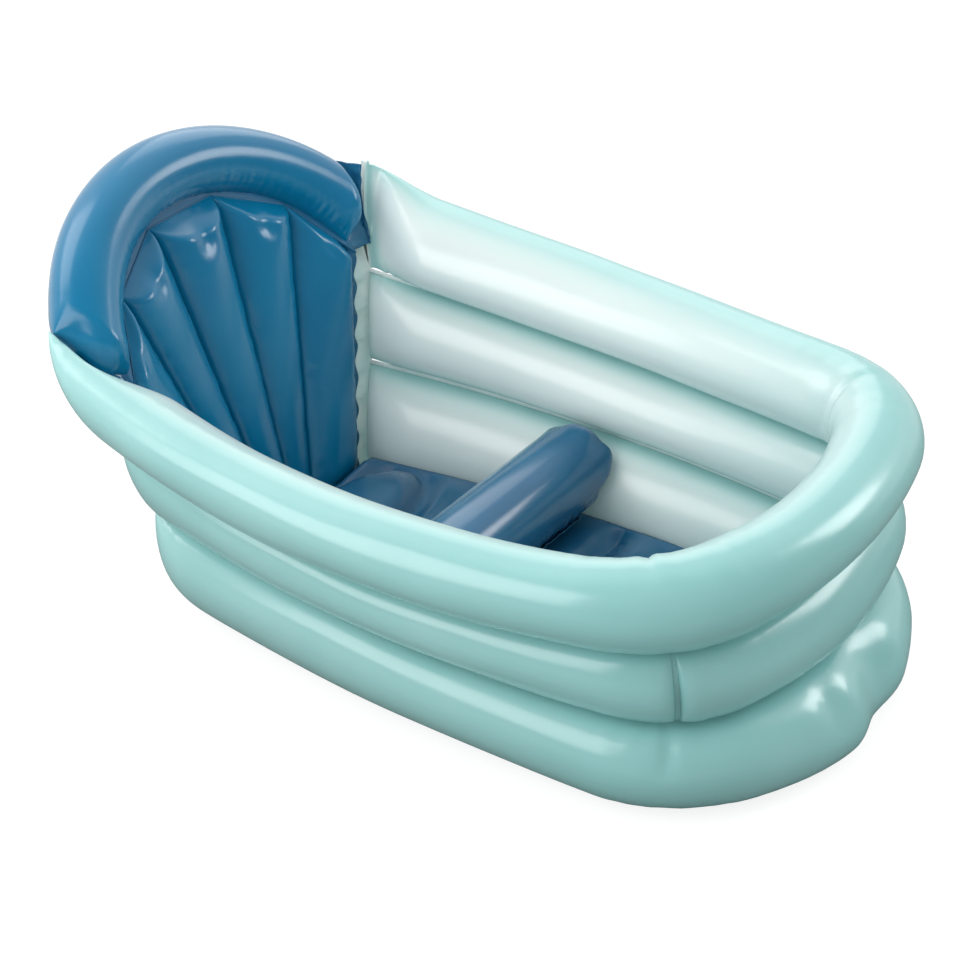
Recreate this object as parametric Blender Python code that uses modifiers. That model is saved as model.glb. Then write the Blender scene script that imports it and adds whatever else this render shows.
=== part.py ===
"""Inflatable baby bathtub: a ring of three stacked air chambers, closed at the
head end by a fan-ribbed backrest with an arched head roll, over an air floor
with a seat dome, a bolster roll and a ribbed leg mat.

Metres, +Z up. The origin is the bottom centre of the tub. +X runs to the foot
end and the near side is -Y.
"""

import math

import bmesh
import bpy
from mathutils import Matrix, Vector

# Overall sizes
TUB_LENGTH = 0.936
TUB_WIDTH = 0.628
WALL_HEIGHT = 0.285

# Chambers of the ring: how far each swells to either side of its weld lines
UPPER_SWELL = 0.046
MIDDLE_SWELL = 0.0325
LOWER_SWELL = 0.045
WELD_BAND = 0.006
FILM = 0.0012
GAP = 0.0003
END_ROUNDING = 0.072
SEAM_ROUNDING = 0.020
CORNER_SEAM_WIDTH = 0.014

# Base sheet under the whole tub
BASE_THICKNESS = 0.001
BASE_MARGIN = 0.012

# Head end: the surface that the backrest and the ends of the ring share
HEAD_OVERHANG = 0.20105
HEAD_LEAN = math.radians(9.3)
HEADREST_LEAN = math.radians(42.6)
HEADREST_BEND_DROP = 0.0485
HEADREST_BEND_BLEND = 0.030
FOOT_EDGE_MARGIN = 0.0319
TOP_EDGE_MARGIN = 0.0266
BACKREST_LIFT = 0.0025
BACKREST_FULLNESS = 0.30
HEADREST_RADIUS = 0.0385
HEADREST_REACH = 0.1545
HEADREST_CORNER_MARGIN = 0.0075
HEADREST_END_SETBACK_LENGTH = 0.0415
HEADREST_END_ROUNDING = 0.040
SEAM_STRIP = 0.0025
END_FLAP_TUCK = 0.0129
END_FLAP_HEIGHT = 0.0226
BACKREST_MARGIN = 0.011
WALL_MARGIN = 0.034
MARGIN_WAVE = 0.0016
MARGIN_WAVES = 9

# Air floor
FLOOR_HEIGHT = 0.037
FLOOR_EDGE_HEIGHT = 0.0365
FLOOR_CLEARANCE = 0.0006
HEAD_STRIP_HEIGHT = 0.034
SEAT_INSET = 0.0857
SEAT_HALF_LENGTH = 0.056
SEAT_HALF_WIDTH = 0.138
SEAT_RISE = 0.010
SEAT_GROOVE = 0.012
SEAT_GROOVE_WIDTH = 0.016
LEG_RIB_INSET = 0.042
LEG_RIB_PITCH = 0.070
LEG_RIB_DEPTH = 0.016

# Bolster roll between seat and legs
BOLSTER_INSET = 0.2697
BOLSTER_RADIUS = 0.0485
BOLSTER_END_FILLET = 0.016
BOLSTER_END_LEAN = math.radians(23.0)
BOLSTER_CLEARANCE = 0.0012
BOLSTER_STRIP = 0.011
BOLSTER_STRIP_LEAN = math.radians(38.0)

# Push-in air valves
VALVE_PATCH_RADIUS = 0.0150
VALVE_PATCH_THICKNESS = 0.0014
VALVE_STEM_RADIUS = 0.0062
VALVE_COLLAR_RADIUS = 0.0086
VALVE_COLLAR_THICKNESS = 0.0016
VALVE_TRAVEL = 0.0110
VALVE_BORE_RADIUS = 0.0040
VALVE_PIN_RADIUS = 0.0037
VALVE_PIN_LENGTH = 0.0085
VALVE_CAP_RADIUS = 0.0076
VALVE_CAP_THICKNESS = 0.0018
VALVE_NUB_RADIUS = 0.0026
VALVE_NUB_HEIGHT = 0.0024
VALVE_FOOT_RADIUS = 0.0082
VALVE_FOOT_THICKNESS = 0.0016
VALVE_CLEARANCE = 0.0004
VALVE_SEAT_DEPTH = 0.0036
VALVE_RECESS_HEIGHT = 0.0156
VALVE_SHARE = 1.84
FLOOR_VALVE_INSET = 0.1246
FLOOR_VALVE_Y = -0.085
FLOOR_SEAT_HEIGHT = 0.0235

# Drain in the floor at the foot end
DRAIN_INSET = 0.0566
DRAIN_RADIUS = 0.0150
DRAIN_BORE_RADIUS = 0.0115
DRAIN_FLANGE_RADIUS = 0.0215
DRAIN_FLANGE_THICKNESS = 0.0022
DRAIN_PLUG_RADIUS = 0.0111
DRAIN_PLUG_LENGTH = 0.014
DRAIN_KNOB_RADIUS = 0.0150
DRAIN_KNOB_THICKNESS = 0.0030
DRAIN_GRIP_RADIUS = 0.0055
DRAIN_GRIP_HEIGHT = 0.0080
CUT_OVERRUN = 0.004

# Mesh fineness
RING_STATIONS = 64
UPPER_SIDES = 16
MIDDLE_SIDES = 12
LOWER_SIDES = 14
TURN_STEPS = 12
HEADREST_POINTS = 34
HEADREST_SIDES = 16
MARGIN_STATIONS = 36
FLOOR_ROWS = 46
FLOOR_COLUMNS = 14
FLOOR_EDGE_SHARE = 0.16
BOLSTER_SIDES = 20
BOLSTER_END_STEPS = 5
BACKREST_ROWS = 18
CHANNEL_COLUMNS = 5
SEAM_STRIP_STEPS = 6
END_FLAP_STEPS = 6

HALF_LENGTH = TUB_LENGTH / 2
HALF_WIDTH = TUB_WIDTH / 2
BASE_TOP = BASE_THICKNESS + GAP

# Weld lines of the ring, bottom to top. Plan shares are of the half length and
# half width: y at the head, y at mid side, corner x, corner y, x at the foot.
BOTTOM_LINE_SHARES = (0.495, 0.63, 0.7298, 0.625, 0.9293)
LOWER_WELD_SHARES = (0.605, 0.723, 0.7663, 0.635, 0.8698)
UPPER_WELD_SHARES = (0.685, 0.81, 0.7653, 0.667, 0.8443)
RIM_SHARES = (0.765, 0.889, 0.7263, 0.721, 0.8523)

# Their heights at the head, mid side and foot, as shares of the wall height.
LOWER_WELD_HEIGHT_SHARES = (0.420, 0.377, 0.3565)
UPPER_WELD_HEIGHT_SHARES = (0.779, 0.656, 0.677)
RIM_HEIGHT_SHARES = (1.135, 0.975, 0.998)

# Where the side run gives way to the rounded corner and then to the foot run.
CORNER_START_SHARE = 0.90
CORNER_END_SHARE = 0.30
SIDE_RUN_SHARE = 0.684
CORNER_RUN_SHARE = 0.818
CORNER_SEAM_SHARE = (SIDE_RUN_SHARE + CORNER_RUN_SHARE) / 2

# Blunt ends: how much of the swell and of the height is left at the seal.
END_SWELL_SHARE = 0.28
END_HEIGHT_SHARE = 0.97
SEAM_SWELL_SHARE = 0.80
END_STATION_SHARES = (0.07, 0.22, 0.44)

# Ends of the head roll: thickness left at the seal, and how far the outer corner stands out.
HEADREST_SEAL_SHARE = 0.16
HEADREST_HORN_SHARE = 0.10

# Soft dent in the lower chamber at the foot, just past the middle
FOOT_DENT_SHARE = 1.035
FOOT_DENT_SPREAD_SHARE = 0.070
FOOT_DENT_DEPTH_SHARE = 0.30
CORNER_SEAM_SWELL_SHARE = 0.74

# Backrest fan: rib feet and heads across the half width of its bottom and top.
RIB_FOOT_SHARES = (0.125, 0.355)
RIB_HEAD_SHARES = (0.272, 0.727)

# Places and widths of the head end that follow from the ring
HEAD_FOOT_X = HEAD_OVERHANG - HALF_LENGTH
BOLSTER_X = HEAD_FOOT_X + BOLSTER_INSET
SEAT_X = HEAD_FOOT_X + SEAT_INSET
HEADREST_BEND_HEIGHT = RIM_HEIGHT_SHARES[0] * WALL_HEIGHT - HEADREST_BEND_DROP
BACKREST_FOOT_HALF_WIDTH = BOTTOM_LINE_SHARES[0] * HALF_WIDTH - FOOT_EDGE_MARGIN
BACKREST_TOP_HALF_WIDTH = UPPER_WELD_SHARES[0] * HALF_WIDTH - TOP_EDGE_MARGIN
BACKREST_SEAM_RADIUS = BACKREST_TOP_HALF_WIDTH + HEADREST_CORNER_MARGIN
HEADREST_BOW_RADIUS = BACKREST_SEAM_RADIUS + SEAM_STRIP + HEADREST_RADIUS
HEADREST_HALF_ANGLE = math.asin(BACKREST_TOP_HALF_WIDTH / BACKREST_SEAM_RADIUS)
HEADREST_HALF_ANGLE -= HEADREST_END_SETBACK_LENGTH / BACKREST_SEAM_RADIUS

# Mint and blue film, clear valve plastic
MINT = (0.40, 0.70, 0.66, 1.0)
MINT_SHADE = (0.33, 0.62, 0.60, 1.0)
BLUE = (0.006, 0.115, 0.262, 1.0)
CLEAR_WHITE = (0.80, 0.84, 0.84, 1.0)


def clear_scene():
    """Remove every object that the file opened with."""
    for old in list(bpy.data.objects):
        bpy.data.objects.remove(old, do_unlink=True)


def new_collection(name):
    """Make a collection and link it to the scene."""
    made = bpy.data.collections.new(name)
    bpy.context.scene.collection.children.link(made)
    return made


def make_material(name, colour, roughness, metallic=0.0):
    """Make a plain material for one piece."""
    material = bpy.data.materials.new(name)
    material.use_nodes = True
    shader = material.node_tree.nodes["Principled BSDF"]
    shader.inputs["Base Color"].default_value = colour
    shader.inputs["Roughness"].default_value = roughness
    shader.inputs["Metallic"].default_value = metallic
    material.diffuse_color = colour
    return material


def add_piece(name, mesh, collection, colour, roughness=0.35):
    """Place a finished mesh as one named piece with its own material."""
    piece = bpy.data.objects.new(name, mesh)
    collection.objects.link(piece)
    mesh.materials.clear()
    mesh.materials.append(make_material(name + "_film", colour, roughness))
    mesh.shade_smooth()
    mesh.set_sharp_from_angle(angle=math.radians(50.0))
    return piece


def through_three(first, middle, last, share):
    """Value at a share of the way along a parabola through three values."""
    start = first * (1 - share) * (1 - 2 * share)
    centre = middle * 4 * share * (1 - share)
    end = last * share * (2 * share - 1)
    return start + centre + end


def head_x(height):
    """X of the head surface at a height: upright below, laid back above a soft bend."""
    above = height - HEADREST_BEND_HEIGHT
    if above > 0:
        laid_back = above + HEADREST_BEND_BLEND / 2
    elif above > -HEADREST_BEND_BLEND:
        laid_back = (above + HEADREST_BEND_BLEND) ** 2 / (2 * HEADREST_BEND_BLEND)
    else:
        laid_back = 0
    extra = math.tan(HEADREST_LEAN) - math.tan(HEAD_LEAN)
    return HEAD_FOOT_X - height * math.tan(HEAD_LEAN) - laid_back * extra


def wall_end_x(height):
    """X of the blunt ends of the wall chambers, straight between the weld lines."""
    ends = [line(0) for line in (bottom_line, lower_weld, upper_weld, rim_line)]
    for low, high in zip(ends, ends[1:]):
        if height <= high.z:
            break
    return low.x + (high.x - low.x) * (height - low.z) / (high.z - low.z) - GAP


def square_to(surface, height):
    """Direction square to a surface of the head end, towards the bather."""
    step = GAP
    slope = (surface(height + step) - surface(height - step)) / (2 * step)
    return Vector((1, 0, -slope)).normalized()


def backrest_edge_y(height):
    """Half width of the backrest at a height."""
    widening = BACKREST_TOP_HALF_WIDTH - BACKREST_FOOT_HALF_WIDTH
    return BACKREST_FOOT_HALF_WIDTH + widening * min(height / HEADREST_BEND_HEIGHT, 1)


def line_point(plan_shares, height_shares, share):
    """Point on a weld line. Share 0 is the near head end, 1 the foot, 2 the far head end."""
    mirrored = share > 1
    run = 2 - share if mirrored else share
    head_y = plan_shares[0] * HALF_WIDTH
    mid_y = plan_shares[1] * HALF_WIDTH
    corner_x = plan_shares[2] * HALF_LENGTH
    corner_y = plan_shares[3] * HALF_WIDTH
    foot_x = plan_shares[4] * HALF_LENGTH
    if height_shares is None:
        heights = (BASE_TOP, BASE_TOP, BASE_TOP)
    else:
        heights = tuple(level * WALL_HEIGHT for level in height_shares)
    start_x = head_x(heights[0]) + GAP

    def on_side(part):
        return Vector((
            start_x + (corner_x - start_x) * part,
            through_three(head_y, mid_y, corner_y, part),
            through_three(heights[0], heights[1], heights[2], part),
        ))

    def on_foot(part):
        bow = 1 - (1 - part) ** 2
        return Vector((corner_x + (foot_x - corner_x) * bow, corner_y * (1 - part), heights[2]))

    if run <= SIDE_RUN_SHARE:
        point = on_side(run / SIDE_RUN_SHARE * CORNER_START_SHARE)
    elif run <= CORNER_RUN_SHARE:
        turn = (run - SIDE_RUN_SHARE) / (CORNER_RUN_SHARE - SIDE_RUN_SHARE)
        first = on_side(CORNER_START_SHARE)
        corner = Vector((corner_x, corner_y, heights[2]))
        last = on_foot(CORNER_END_SHARE)
        point = first * (1 - turn) ** 2 + corner * 2 * turn * (1 - turn) + last * turn ** 2
    else:
        turn = (run - CORNER_RUN_SHARE) / (1 - CORNER_RUN_SHARE)
        point = on_foot(CORNER_END_SHARE + (1 - CORNER_END_SHARE) * turn)
    if not mirrored:
        point.y = -point.y
    return point


def bottom_line(share):
    """Where the lower chamber meets the base sheet."""
    return line_point(BOTTOM_LINE_SHARES, None, share)


def lower_weld(share):
    """Weld between the lower and the middle chamber."""
    return line_point(LOWER_WELD_SHARES, LOWER_WELD_HEIGHT_SHARES, share)


def upper_weld(share):
    """Weld between the middle and the upper chamber."""
    return line_point(UPPER_WELD_SHARES, UPPER_WELD_HEIGHT_SHARES, share)


def rim_line(share):
    """Crest of the upper chamber."""
    return line_point(RIM_SHARES, RIM_HEIGHT_SHARES, share)


def outward(low_line, high_line, share):
    """Level direction square to the wall, away from the bather."""
    step = 1 / RING_STATIONS
    before = max(share - step, 0)
    after = min(share + step, 2)
    back = (low_line(before) + high_line(before)) / 2
    ahead = (low_line(after) + high_line(after)) / 2
    run = ahead - back
    return Vector((run.y, -run.x, 0)).normalized()


def run_length(line, first, last):
    """Length along a weld line between two shares."""
    total = 0
    for index in range(RING_STATIONS):
        here = first + (last - first) * index / RING_STATIONS
        there = first + (last - first) * (index + 1) / RING_STATIONS
        total += (line(there) - line(here)).length
    return total


def rounding(distance, reach):
    """Share of full swell at a distance from an end that rounds over its reach."""
    if distance >= reach:
        return 1
    return math.sqrt(max(0, 1 - (1 - distance / reach) ** 2))


def loft(name, rings):
    """Skin a row of closed rings and cap both ends, always split along the same diagonals."""
    model = bmesh.new()
    rows = [[model.verts.new(point) for point in ring] for ring in rings]
    sides = len(rows[0])
    for row, following in zip(rows, rows[1:]):
        for index in range(sides):
            other = (index + 1) % sides
            model.faces.new((row[index], row[other], following[other], following[index]))
    model.faces.new(rows[0])
    model.faces.new(list(reversed(rows[-1])))
    bmesh.ops.triangulate(model, faces=model.faces, quad_method="FIXED")
    bmesh.ops.recalc_face_normals(model, faces=model.faces)
    mesh = bpy.data.meshes.new(name)
    model.to_mesh(mesh)
    model.free()
    return mesh


def chamber_rings(lines, swell, sides, first, last, stations, ends, grown=0):
    """Rings of one air chamber between two weld lines.

    lines gives the low line, its band, the high line and its band. ends gives
    the rounding reach and the share of swell left at the two ends.
    """
    low_line, low_band, high_line, high_band = lines
    length = run_length(high_line, first, last)
    parts = [index / stations for index in range(stations + 1)]
    for reach_share in END_STATION_SHARES:
        parts.append(ends[0][0] * reach_share / length)
        parts.append(1 - ends[1][0] * reach_share / length)
    rings = []
    for part in sorted(parts):
        share = first + (last - first) * part
        low = low_line(share)
        high = high_line(share)
        rise = (high - low).normalized()
        low = low + rise * low_band
        high = high - rise * high_band
        centre = (low + high) / 2
        half = (high - low).length / 2
        away = outward(low_line, high_line, share)
        start_full = rounding(part * length, ends[0][0])
        end_full = rounding((1 - part) * length, ends[1][0])
        swell_share = min(
            ends[0][1] + (1 - ends[0][1]) * start_full,
            ends[1][1] + (1 - ends[1][1]) * end_full,
        )
        height_share = min(
            ends[0][2] + (1 - ends[0][2]) * start_full,
            ends[1][2] + (1 - ends[1][2]) * end_full,
        )
        if low_line is bottom_line:
            nearness = 1 - abs(share - FOOT_DENT_SHARE) / FOOT_DENT_SPREAD_SHARE
            swell_share -= FOOT_DENT_DEPTH_SHARE * smooth(nearness)
        ring = []
        for side in range(sides):
            angle = 2 * math.pi * side / sides
            across = away * math.cos(angle) * (swell * swell_share + grown)
            up = rise * math.sin(angle) * (half * height_share + grown)
            point = centre + across + up
            point.z = max(point.z, BASE_TOP)
            ring.append(point)
        rings.append(ring)
    return rings


BLUNT_END = (END_ROUNDING, END_SWELL_SHARE, END_HEIGHT_SHARE)
SEAM_END = (SEAM_ROUNDING, SEAM_SWELL_SHARE, 1)


def upper_rings(grown=0):
    """Rings of the upper chamber, one run round the tub."""
    lines = (upper_weld, WELD_BAND / 2, rim_line, 0)
    rings = chamber_rings(lines, UPPER_SWELL, UPPER_SIDES, 0, 2, RING_STATIONS,
                          (BLUNT_END, BLUNT_END), grown)
    for end, inner in ((0, 1), (-1, -2)):
        outwards = (rings[end][0] - rings[inner][0]).normalized() * grown
        rings[end] = [point + outwards for point in rings[end]]
    return rings


def middle_rings(first, last, stations, ends):
    """Rings of one length of the middle chamber."""
    lines = (lower_weld, WELD_BAND / 2, upper_weld, WELD_BAND / 2)
    return chamber_rings(lines, MIDDLE_SWELL, MIDDLE_SIDES, first, last, stations, ends)


def lower_rings():
    """Rings of the lower chamber, one run round the tub."""
    lines = (bottom_line, 0, lower_weld, WELD_BAND / 2)
    return chamber_rings(lines, LOWER_SWELL, LOWER_SIDES, 0, 2, RING_STATIONS,
                         (BLUNT_END, BLUNT_END))


def weld_band_rings(below, line, above):
    """Flat band of film between two stacked chambers."""
    rings = []
    for index in range(RING_STATIONS + 1):
        share = 2 * index / RING_STATIONS
        centre = line(share)
        away = outward(below, above, share) * (FILM / 2)
        top = centre + (above(share) - centre).normalized() * (WELD_BAND / 2 - GAP)
        foot = centre - (centre - below(share)).normalized() * (WELD_BAND / 2 - GAP)
        rings.append([foot - away, foot + away, top + away, top - away])
    return rings


def head_point(y, height, forward=0, surface=head_x):
    """Point on a surface of the head end, or in front of it."""
    return Vector((surface(height), y, height)) + square_to(surface, height) * forward


def strip_rings(surface, inner, width, behind, wave_back, low, high, side):
    """Upright strip of film at the head end, whose outer edge waves one way."""
    stations = MARGIN_STATIONS
    rings = []
    for index in range(stations + 1):
        part = index / stations
        height = low + (high - low) * part
        wave = MARGIN_WAVE * math.sin(2 * math.pi * MARGIN_WAVES * part) / 2
        near_y = backrest_edge_y(height) + inner
        far_y = near_y + width + wave
        back = behind + wave_back * (MARGIN_WAVE / 2 - wave)
        ring = [
            head_point(side * near_y, height, -behind, surface),
            head_point(side * far_y, height, -back, surface),
            head_point(side * far_y, height, -back - FILM, surface),
            head_point(side * near_y, height, -behind - FILM, surface),
        ]
        rings.append(ring)
    return rings


def headrest_plane(across, along):
    """Point on the laid-back plane of the headrest."""
    return Vector((
        head_x(HEADREST_BEND_HEIGHT) - along * math.sin(HEADREST_LEAN),
        across,
        HEADREST_BEND_HEIGHT + along * math.cos(HEADREST_LEAN),
    ))


def headrest_arc(radius, turn):
    """Point on an arc about the centre of the head roll's bow."""
    centre_along = HEADREST_REACH - HEADREST_BOW_RADIUS
    return headrest_plane(radius * math.sin(turn), centre_along + radius * math.cos(turn))


def headrest_rings():
    """Rings of the head roll: round along its bow and drawn in to a flat seal at both ends."""
    length = 2 * HEADREST_BOW_RADIUS * HEADREST_HALF_ANGLE
    parts = [index / HEADREST_POINTS for index in range(HEADREST_POINTS + 1)]
    for reach_share in END_STATION_SHARES:
        parts.append(HEADREST_END_ROUNDING * reach_share / length)
        parts.append(1 - HEADREST_END_ROUNDING * reach_share / length)
    square = Vector((math.cos(HEADREST_LEAN), 0, math.sin(HEADREST_LEAN)))
    rings = []
    for part in sorted(parts):
        inset = min(part, 1 - part) * length
        full = rounding(inset, HEADREST_END_ROUNDING)
        thick = HEADREST_RADIUS * (HEADREST_SEAL_SHARE + (1 - HEADREST_SEAL_SHARE) * full)
        horn = HEADREST_RADIUS * HEADREST_HORN_SHARE * (1 - smooth(inset / HEADREST_END_ROUNDING))
        ring = []
        for side in range(HEADREST_SIDES):
            angle = 2 * math.pi * side / HEADREST_SIDES
            radius = HEADREST_BOW_RADIUS + HEADREST_RADIUS * math.cos(angle)
            radius += horn * max(math.cos(angle), 0)
            point = headrest_arc(radius, HEADREST_HALF_ANGLE * (2 * part - 1))
            ring.append(point + square * thick * math.sin(angle))
        rings.append(ring)
    return rings


def add_cutter(name, mesh, cutters):
    """Keep a cutting shape out of the render."""
    cutter = bpy.data.objects.new(name, mesh)
    cutters.objects.link(cutter)
    cutter.hide_render = True
    cutter.display_type = "WIRE"
    return cutter


def cut(piece, cutter):
    """Cut one piece by one cutter."""
    modifier = piece.modifiers.new("cut_" + cutter.name, "BOOLEAN")
    modifier.operation = "DIFFERENCE"
    modifier.solver = "EXACT"
    modifier.object = cutter


def turned(name, profile, collection, colour, roughness=0.35, steps=TURN_STEPS):
    """Turn a profile of (radius, height) pairs about its own Z axis."""
    mesh = bpy.data.meshes.new(name)
    edges = [(index, index + 1) for index in range(len(profile) - 1)]
    mesh.from_pydata([(radius, 0, height) for radius, height in profile], edges, [])
    piece = bpy.data.objects.new(name, mesh)
    collection.objects.link(piece)
    screw = piece.modifiers.new("turn", "SCREW")
    screw.steps = steps
    screw.render_steps = steps
    screw.use_merge_vertices = True
    screw.merge_threshold = GAP / 10
    screw.use_smooth_shade = True
    mesh.materials.append(make_material(name + "_plastic", colour, roughness))
    return piece


def stand_along(piece, place, axis):
    """Put a turned piece with its own Z axis along a direction."""
    piece.rotation_euler = Vector((0, 0, 1)).rotation_difference(axis).to_euler()
    piece.location = place


def cylinder_mesh(name, radius, low, high, sides):
    """Closed cylinder about Z between two heights."""
    model = bmesh.new()
    bmesh.ops.create_cone(model, cap_ends=True, segments=sides, radius1=radius,
                          radius2=radius, depth=high - low,
                          matrix=Matrix.Translation((0, 0, (low + high) / 2)))
    mesh = bpy.data.meshes.new(name)
    model.to_mesh(mesh)
    model.free()
    return mesh


# Ring of the tub


def build_ring(parts):
    """Chambers of the ring and the welded film between them."""
    seam = CORNER_SEAM_SHARE
    length = run_length(upper_weld, 0, 1)
    seam_half = CORNER_SEAM_WIDTH / 2 / length
    side_stations = round(RING_STATIONS / 2 * seam)
    foot_stations = round(RING_STATIONS * (1 - seam))
    pieces = {
        "upper_wall_tube": add_piece(
            "upper_wall_tube", loft("upper_wall_tube", upper_rings()), parts, MINT),
        "lower_wall_tube": add_piece(
            "lower_wall_tube", loft("lower_wall_tube", lower_rings()), parts, MINT),
    }
    runs = (
        ("middle_wall_tube_near", 0, seam - seam_half, side_stations, (BLUNT_END, SEAM_END)),
        ("middle_wall_tube_foot", seam + seam_half, 2 - seam - seam_half, foot_stations,
         (SEAM_END, SEAM_END)),
        ("middle_wall_tube_far", 2 - seam + seam_half, 2, side_stations, (SEAM_END, BLUNT_END)),
    )
    for name, first, last, stations, ends in runs:
        mesh = loft(name, middle_rings(first, last, stations, ends))
        pieces[name] = add_piece(name, mesh, parts, MINT)
    bands = (
        ("lower_weld_band", bottom_line, lower_weld, upper_weld),
        ("upper_weld_band", lower_weld, upper_weld, rim_line),
    )
    for name, below, line, above in bands:
        add_piece(name, loft(name, weld_band_rings(below, line, above)), parts, MINT_SHADE)
    for name, share in (("corner_seam_near", seam), ("corner_seam_far", 2 - seam)):
        add_piece(name, loft(name, corner_seam_rings(share, seam_half)), parts, MINT_SHADE)
    return pieces


def corner_seam_rings(share, seam_half):
    """Welded band that joins two lengths of the middle chamber at a corner."""
    length = run_length(upper_weld, 0, 1)
    first = share - seam_half + GAP / length
    last = share + seam_half - GAP / length
    plain = (SEAM_ROUNDING, 1, 1)
    lines = (lower_weld, WELD_BAND / 2, upper_weld, WELD_BAND / 2)
    swell = MIDDLE_SWELL * CORNER_SEAM_SWELL_SHARE
    return chamber_rings(lines, swell, MIDDLE_SIDES, first, last, 2, (plain, plain))


def build_base(parts):
    """Flat base sheet that the tub stands on, cut by the drain."""
    curve = bpy.data.curves.new("base_sheet", "CURVE")
    curve.dimensions = "2D"
    curve.fill_mode = "BOTH"
    curve.extrude = BASE_THICKNESS / 2
    points = []
    for index in range(RING_STATIONS + 1):
        share = 2 * index / RING_STATIONS
        away = outward(bottom_line, lower_weld, share)
        points.append(bottom_line(share) + away * BASE_MARGIN)
    spline = curve.splines.new("POLY")
    spline.points.add(len(points) - 1)
    spline.use_cyclic_u = True
    for target, point in zip(spline.points, points):
        target.co = (point.x, point.y, 0, 1)
    guide = bpy.data.objects.new("base_sheet_curve", curve)
    parts.objects.link(guide)
    bpy.context.view_layer.update()
    evaluated = guide.evaluated_get(bpy.context.evaluated_depsgraph_get())
    mesh = bpy.data.meshes.new_from_object(evaluated)
    bpy.data.objects.remove(guide, do_unlink=True)
    model = bmesh.new()
    model.from_mesh(mesh)
    bmesh.ops.remove_doubles(model, verts=model.verts, dist=GAP / 10)
    bmesh.ops.recalc_face_normals(model, faces=model.faces)
    model.to_mesh(mesh)
    model.free()
    mesh.name = "base_sheet"
    sheet = add_piece("base_sheet", mesh, parts, MINT_SHADE)
    sheet.location.z = BASE_THICKNESS / 2
    return sheet


# Air floor


def floor_edge(share):
    """Inner foot of the lower chamber, with the running clearance of the floor."""
    low = bottom_line(share)
    high = lower_weld(share)
    centre = (low + high) / 2
    lean = (high - low)
    away = outward(bottom_line, lower_weld, share)
    sideways = lean.dot(away) / 2
    reach = math.hypot(LOWER_SWELL, sideways)
    point = centre - away * (reach + FLOOR_CLEARANCE)
    return Vector((point.x, point.y, 0))


def floor_height(x, y, edge):
    """Top of the air floor: flat head strip, seat dome with its groove, leg ribs."""
    seat = math.hypot((x - SEAT_X) / SEAT_HALF_LENGTH, y / SEAT_HALF_WIDTH)
    groove_share = SEAT_GROOVE_WIDTH / SEAT_HALF_LENGTH
    if x >= BOLSTER_X:
        phase = (x - BOLSTER_X - LEG_RIB_INSET) / LEG_RIB_PITCH
        body = FLOOR_HEIGHT - LEG_RIB_DEPTH * (1 - abs(math.cos(math.pi * phase)) ** 0.7)
        clear = smooth((x - BOLSTER_X) / BOLSTER_RADIUS)
        body = FLOOR_HEIGHT + (body - FLOOR_HEIGHT) * clear
    else:
        strip = smooth((SEAT_X - SEAT_HALF_LENGTH * (1 + groove_share) - x) / SEAT_GROOVE_WIDTH)
        body = FLOOR_HEIGHT + (HEAD_STRIP_HEIGHT - FLOOR_HEIGHT) * strip
        ditch = max(0, 1 - abs(seat - 1) / groove_share)
        body -= SEAT_GROOVE * smooth(ditch) * (1 - strip)
        body += SEAT_RISE * smooth(max(0, 1 - seat ** 2))
    return FLOOR_EDGE_HEIGHT + (body - FLOOR_EDGE_HEIGHT) * smooth(edge)


def smooth(share):
    """Ease a share in and out."""
    share = min(max(share, 0), 1)
    return share * share * (3 - 2 * share)


def backrest_reach(y):
    """How far the fan swells towards the floor about a place across its foot."""
    foot_half = BACKREST_FOOT_HALF_WIDTH
    ribs = (-1, -RIB_FOOT_SHARES[1], -RIB_FOOT_SHARES[0], RIB_FOOT_SHARES[0], RIB_FOOT_SHARES[1], 1)
    spacing = 2 * foot_half / FLOOR_COLUMNS
    furthest = 0
    for step in range(-FLOOR_COLUMNS, FLOOR_COLUMNS + 1):
        share = (y + spacing * step / FLOOR_COLUMNS) / foot_half
        for left, right in zip(ribs, ribs[1:]):
            if left <= share <= right:
                inside = (share - left) / (right - left)
                crown = math.sqrt(max(0, 1 - (2 * inside - 1) ** 2))
                swell = BACKREST_FULLNESS * (right - left) * foot_half * crown
                furthest = max(furthest, swell)
    return furthest - BACKREST_LIFT


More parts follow.
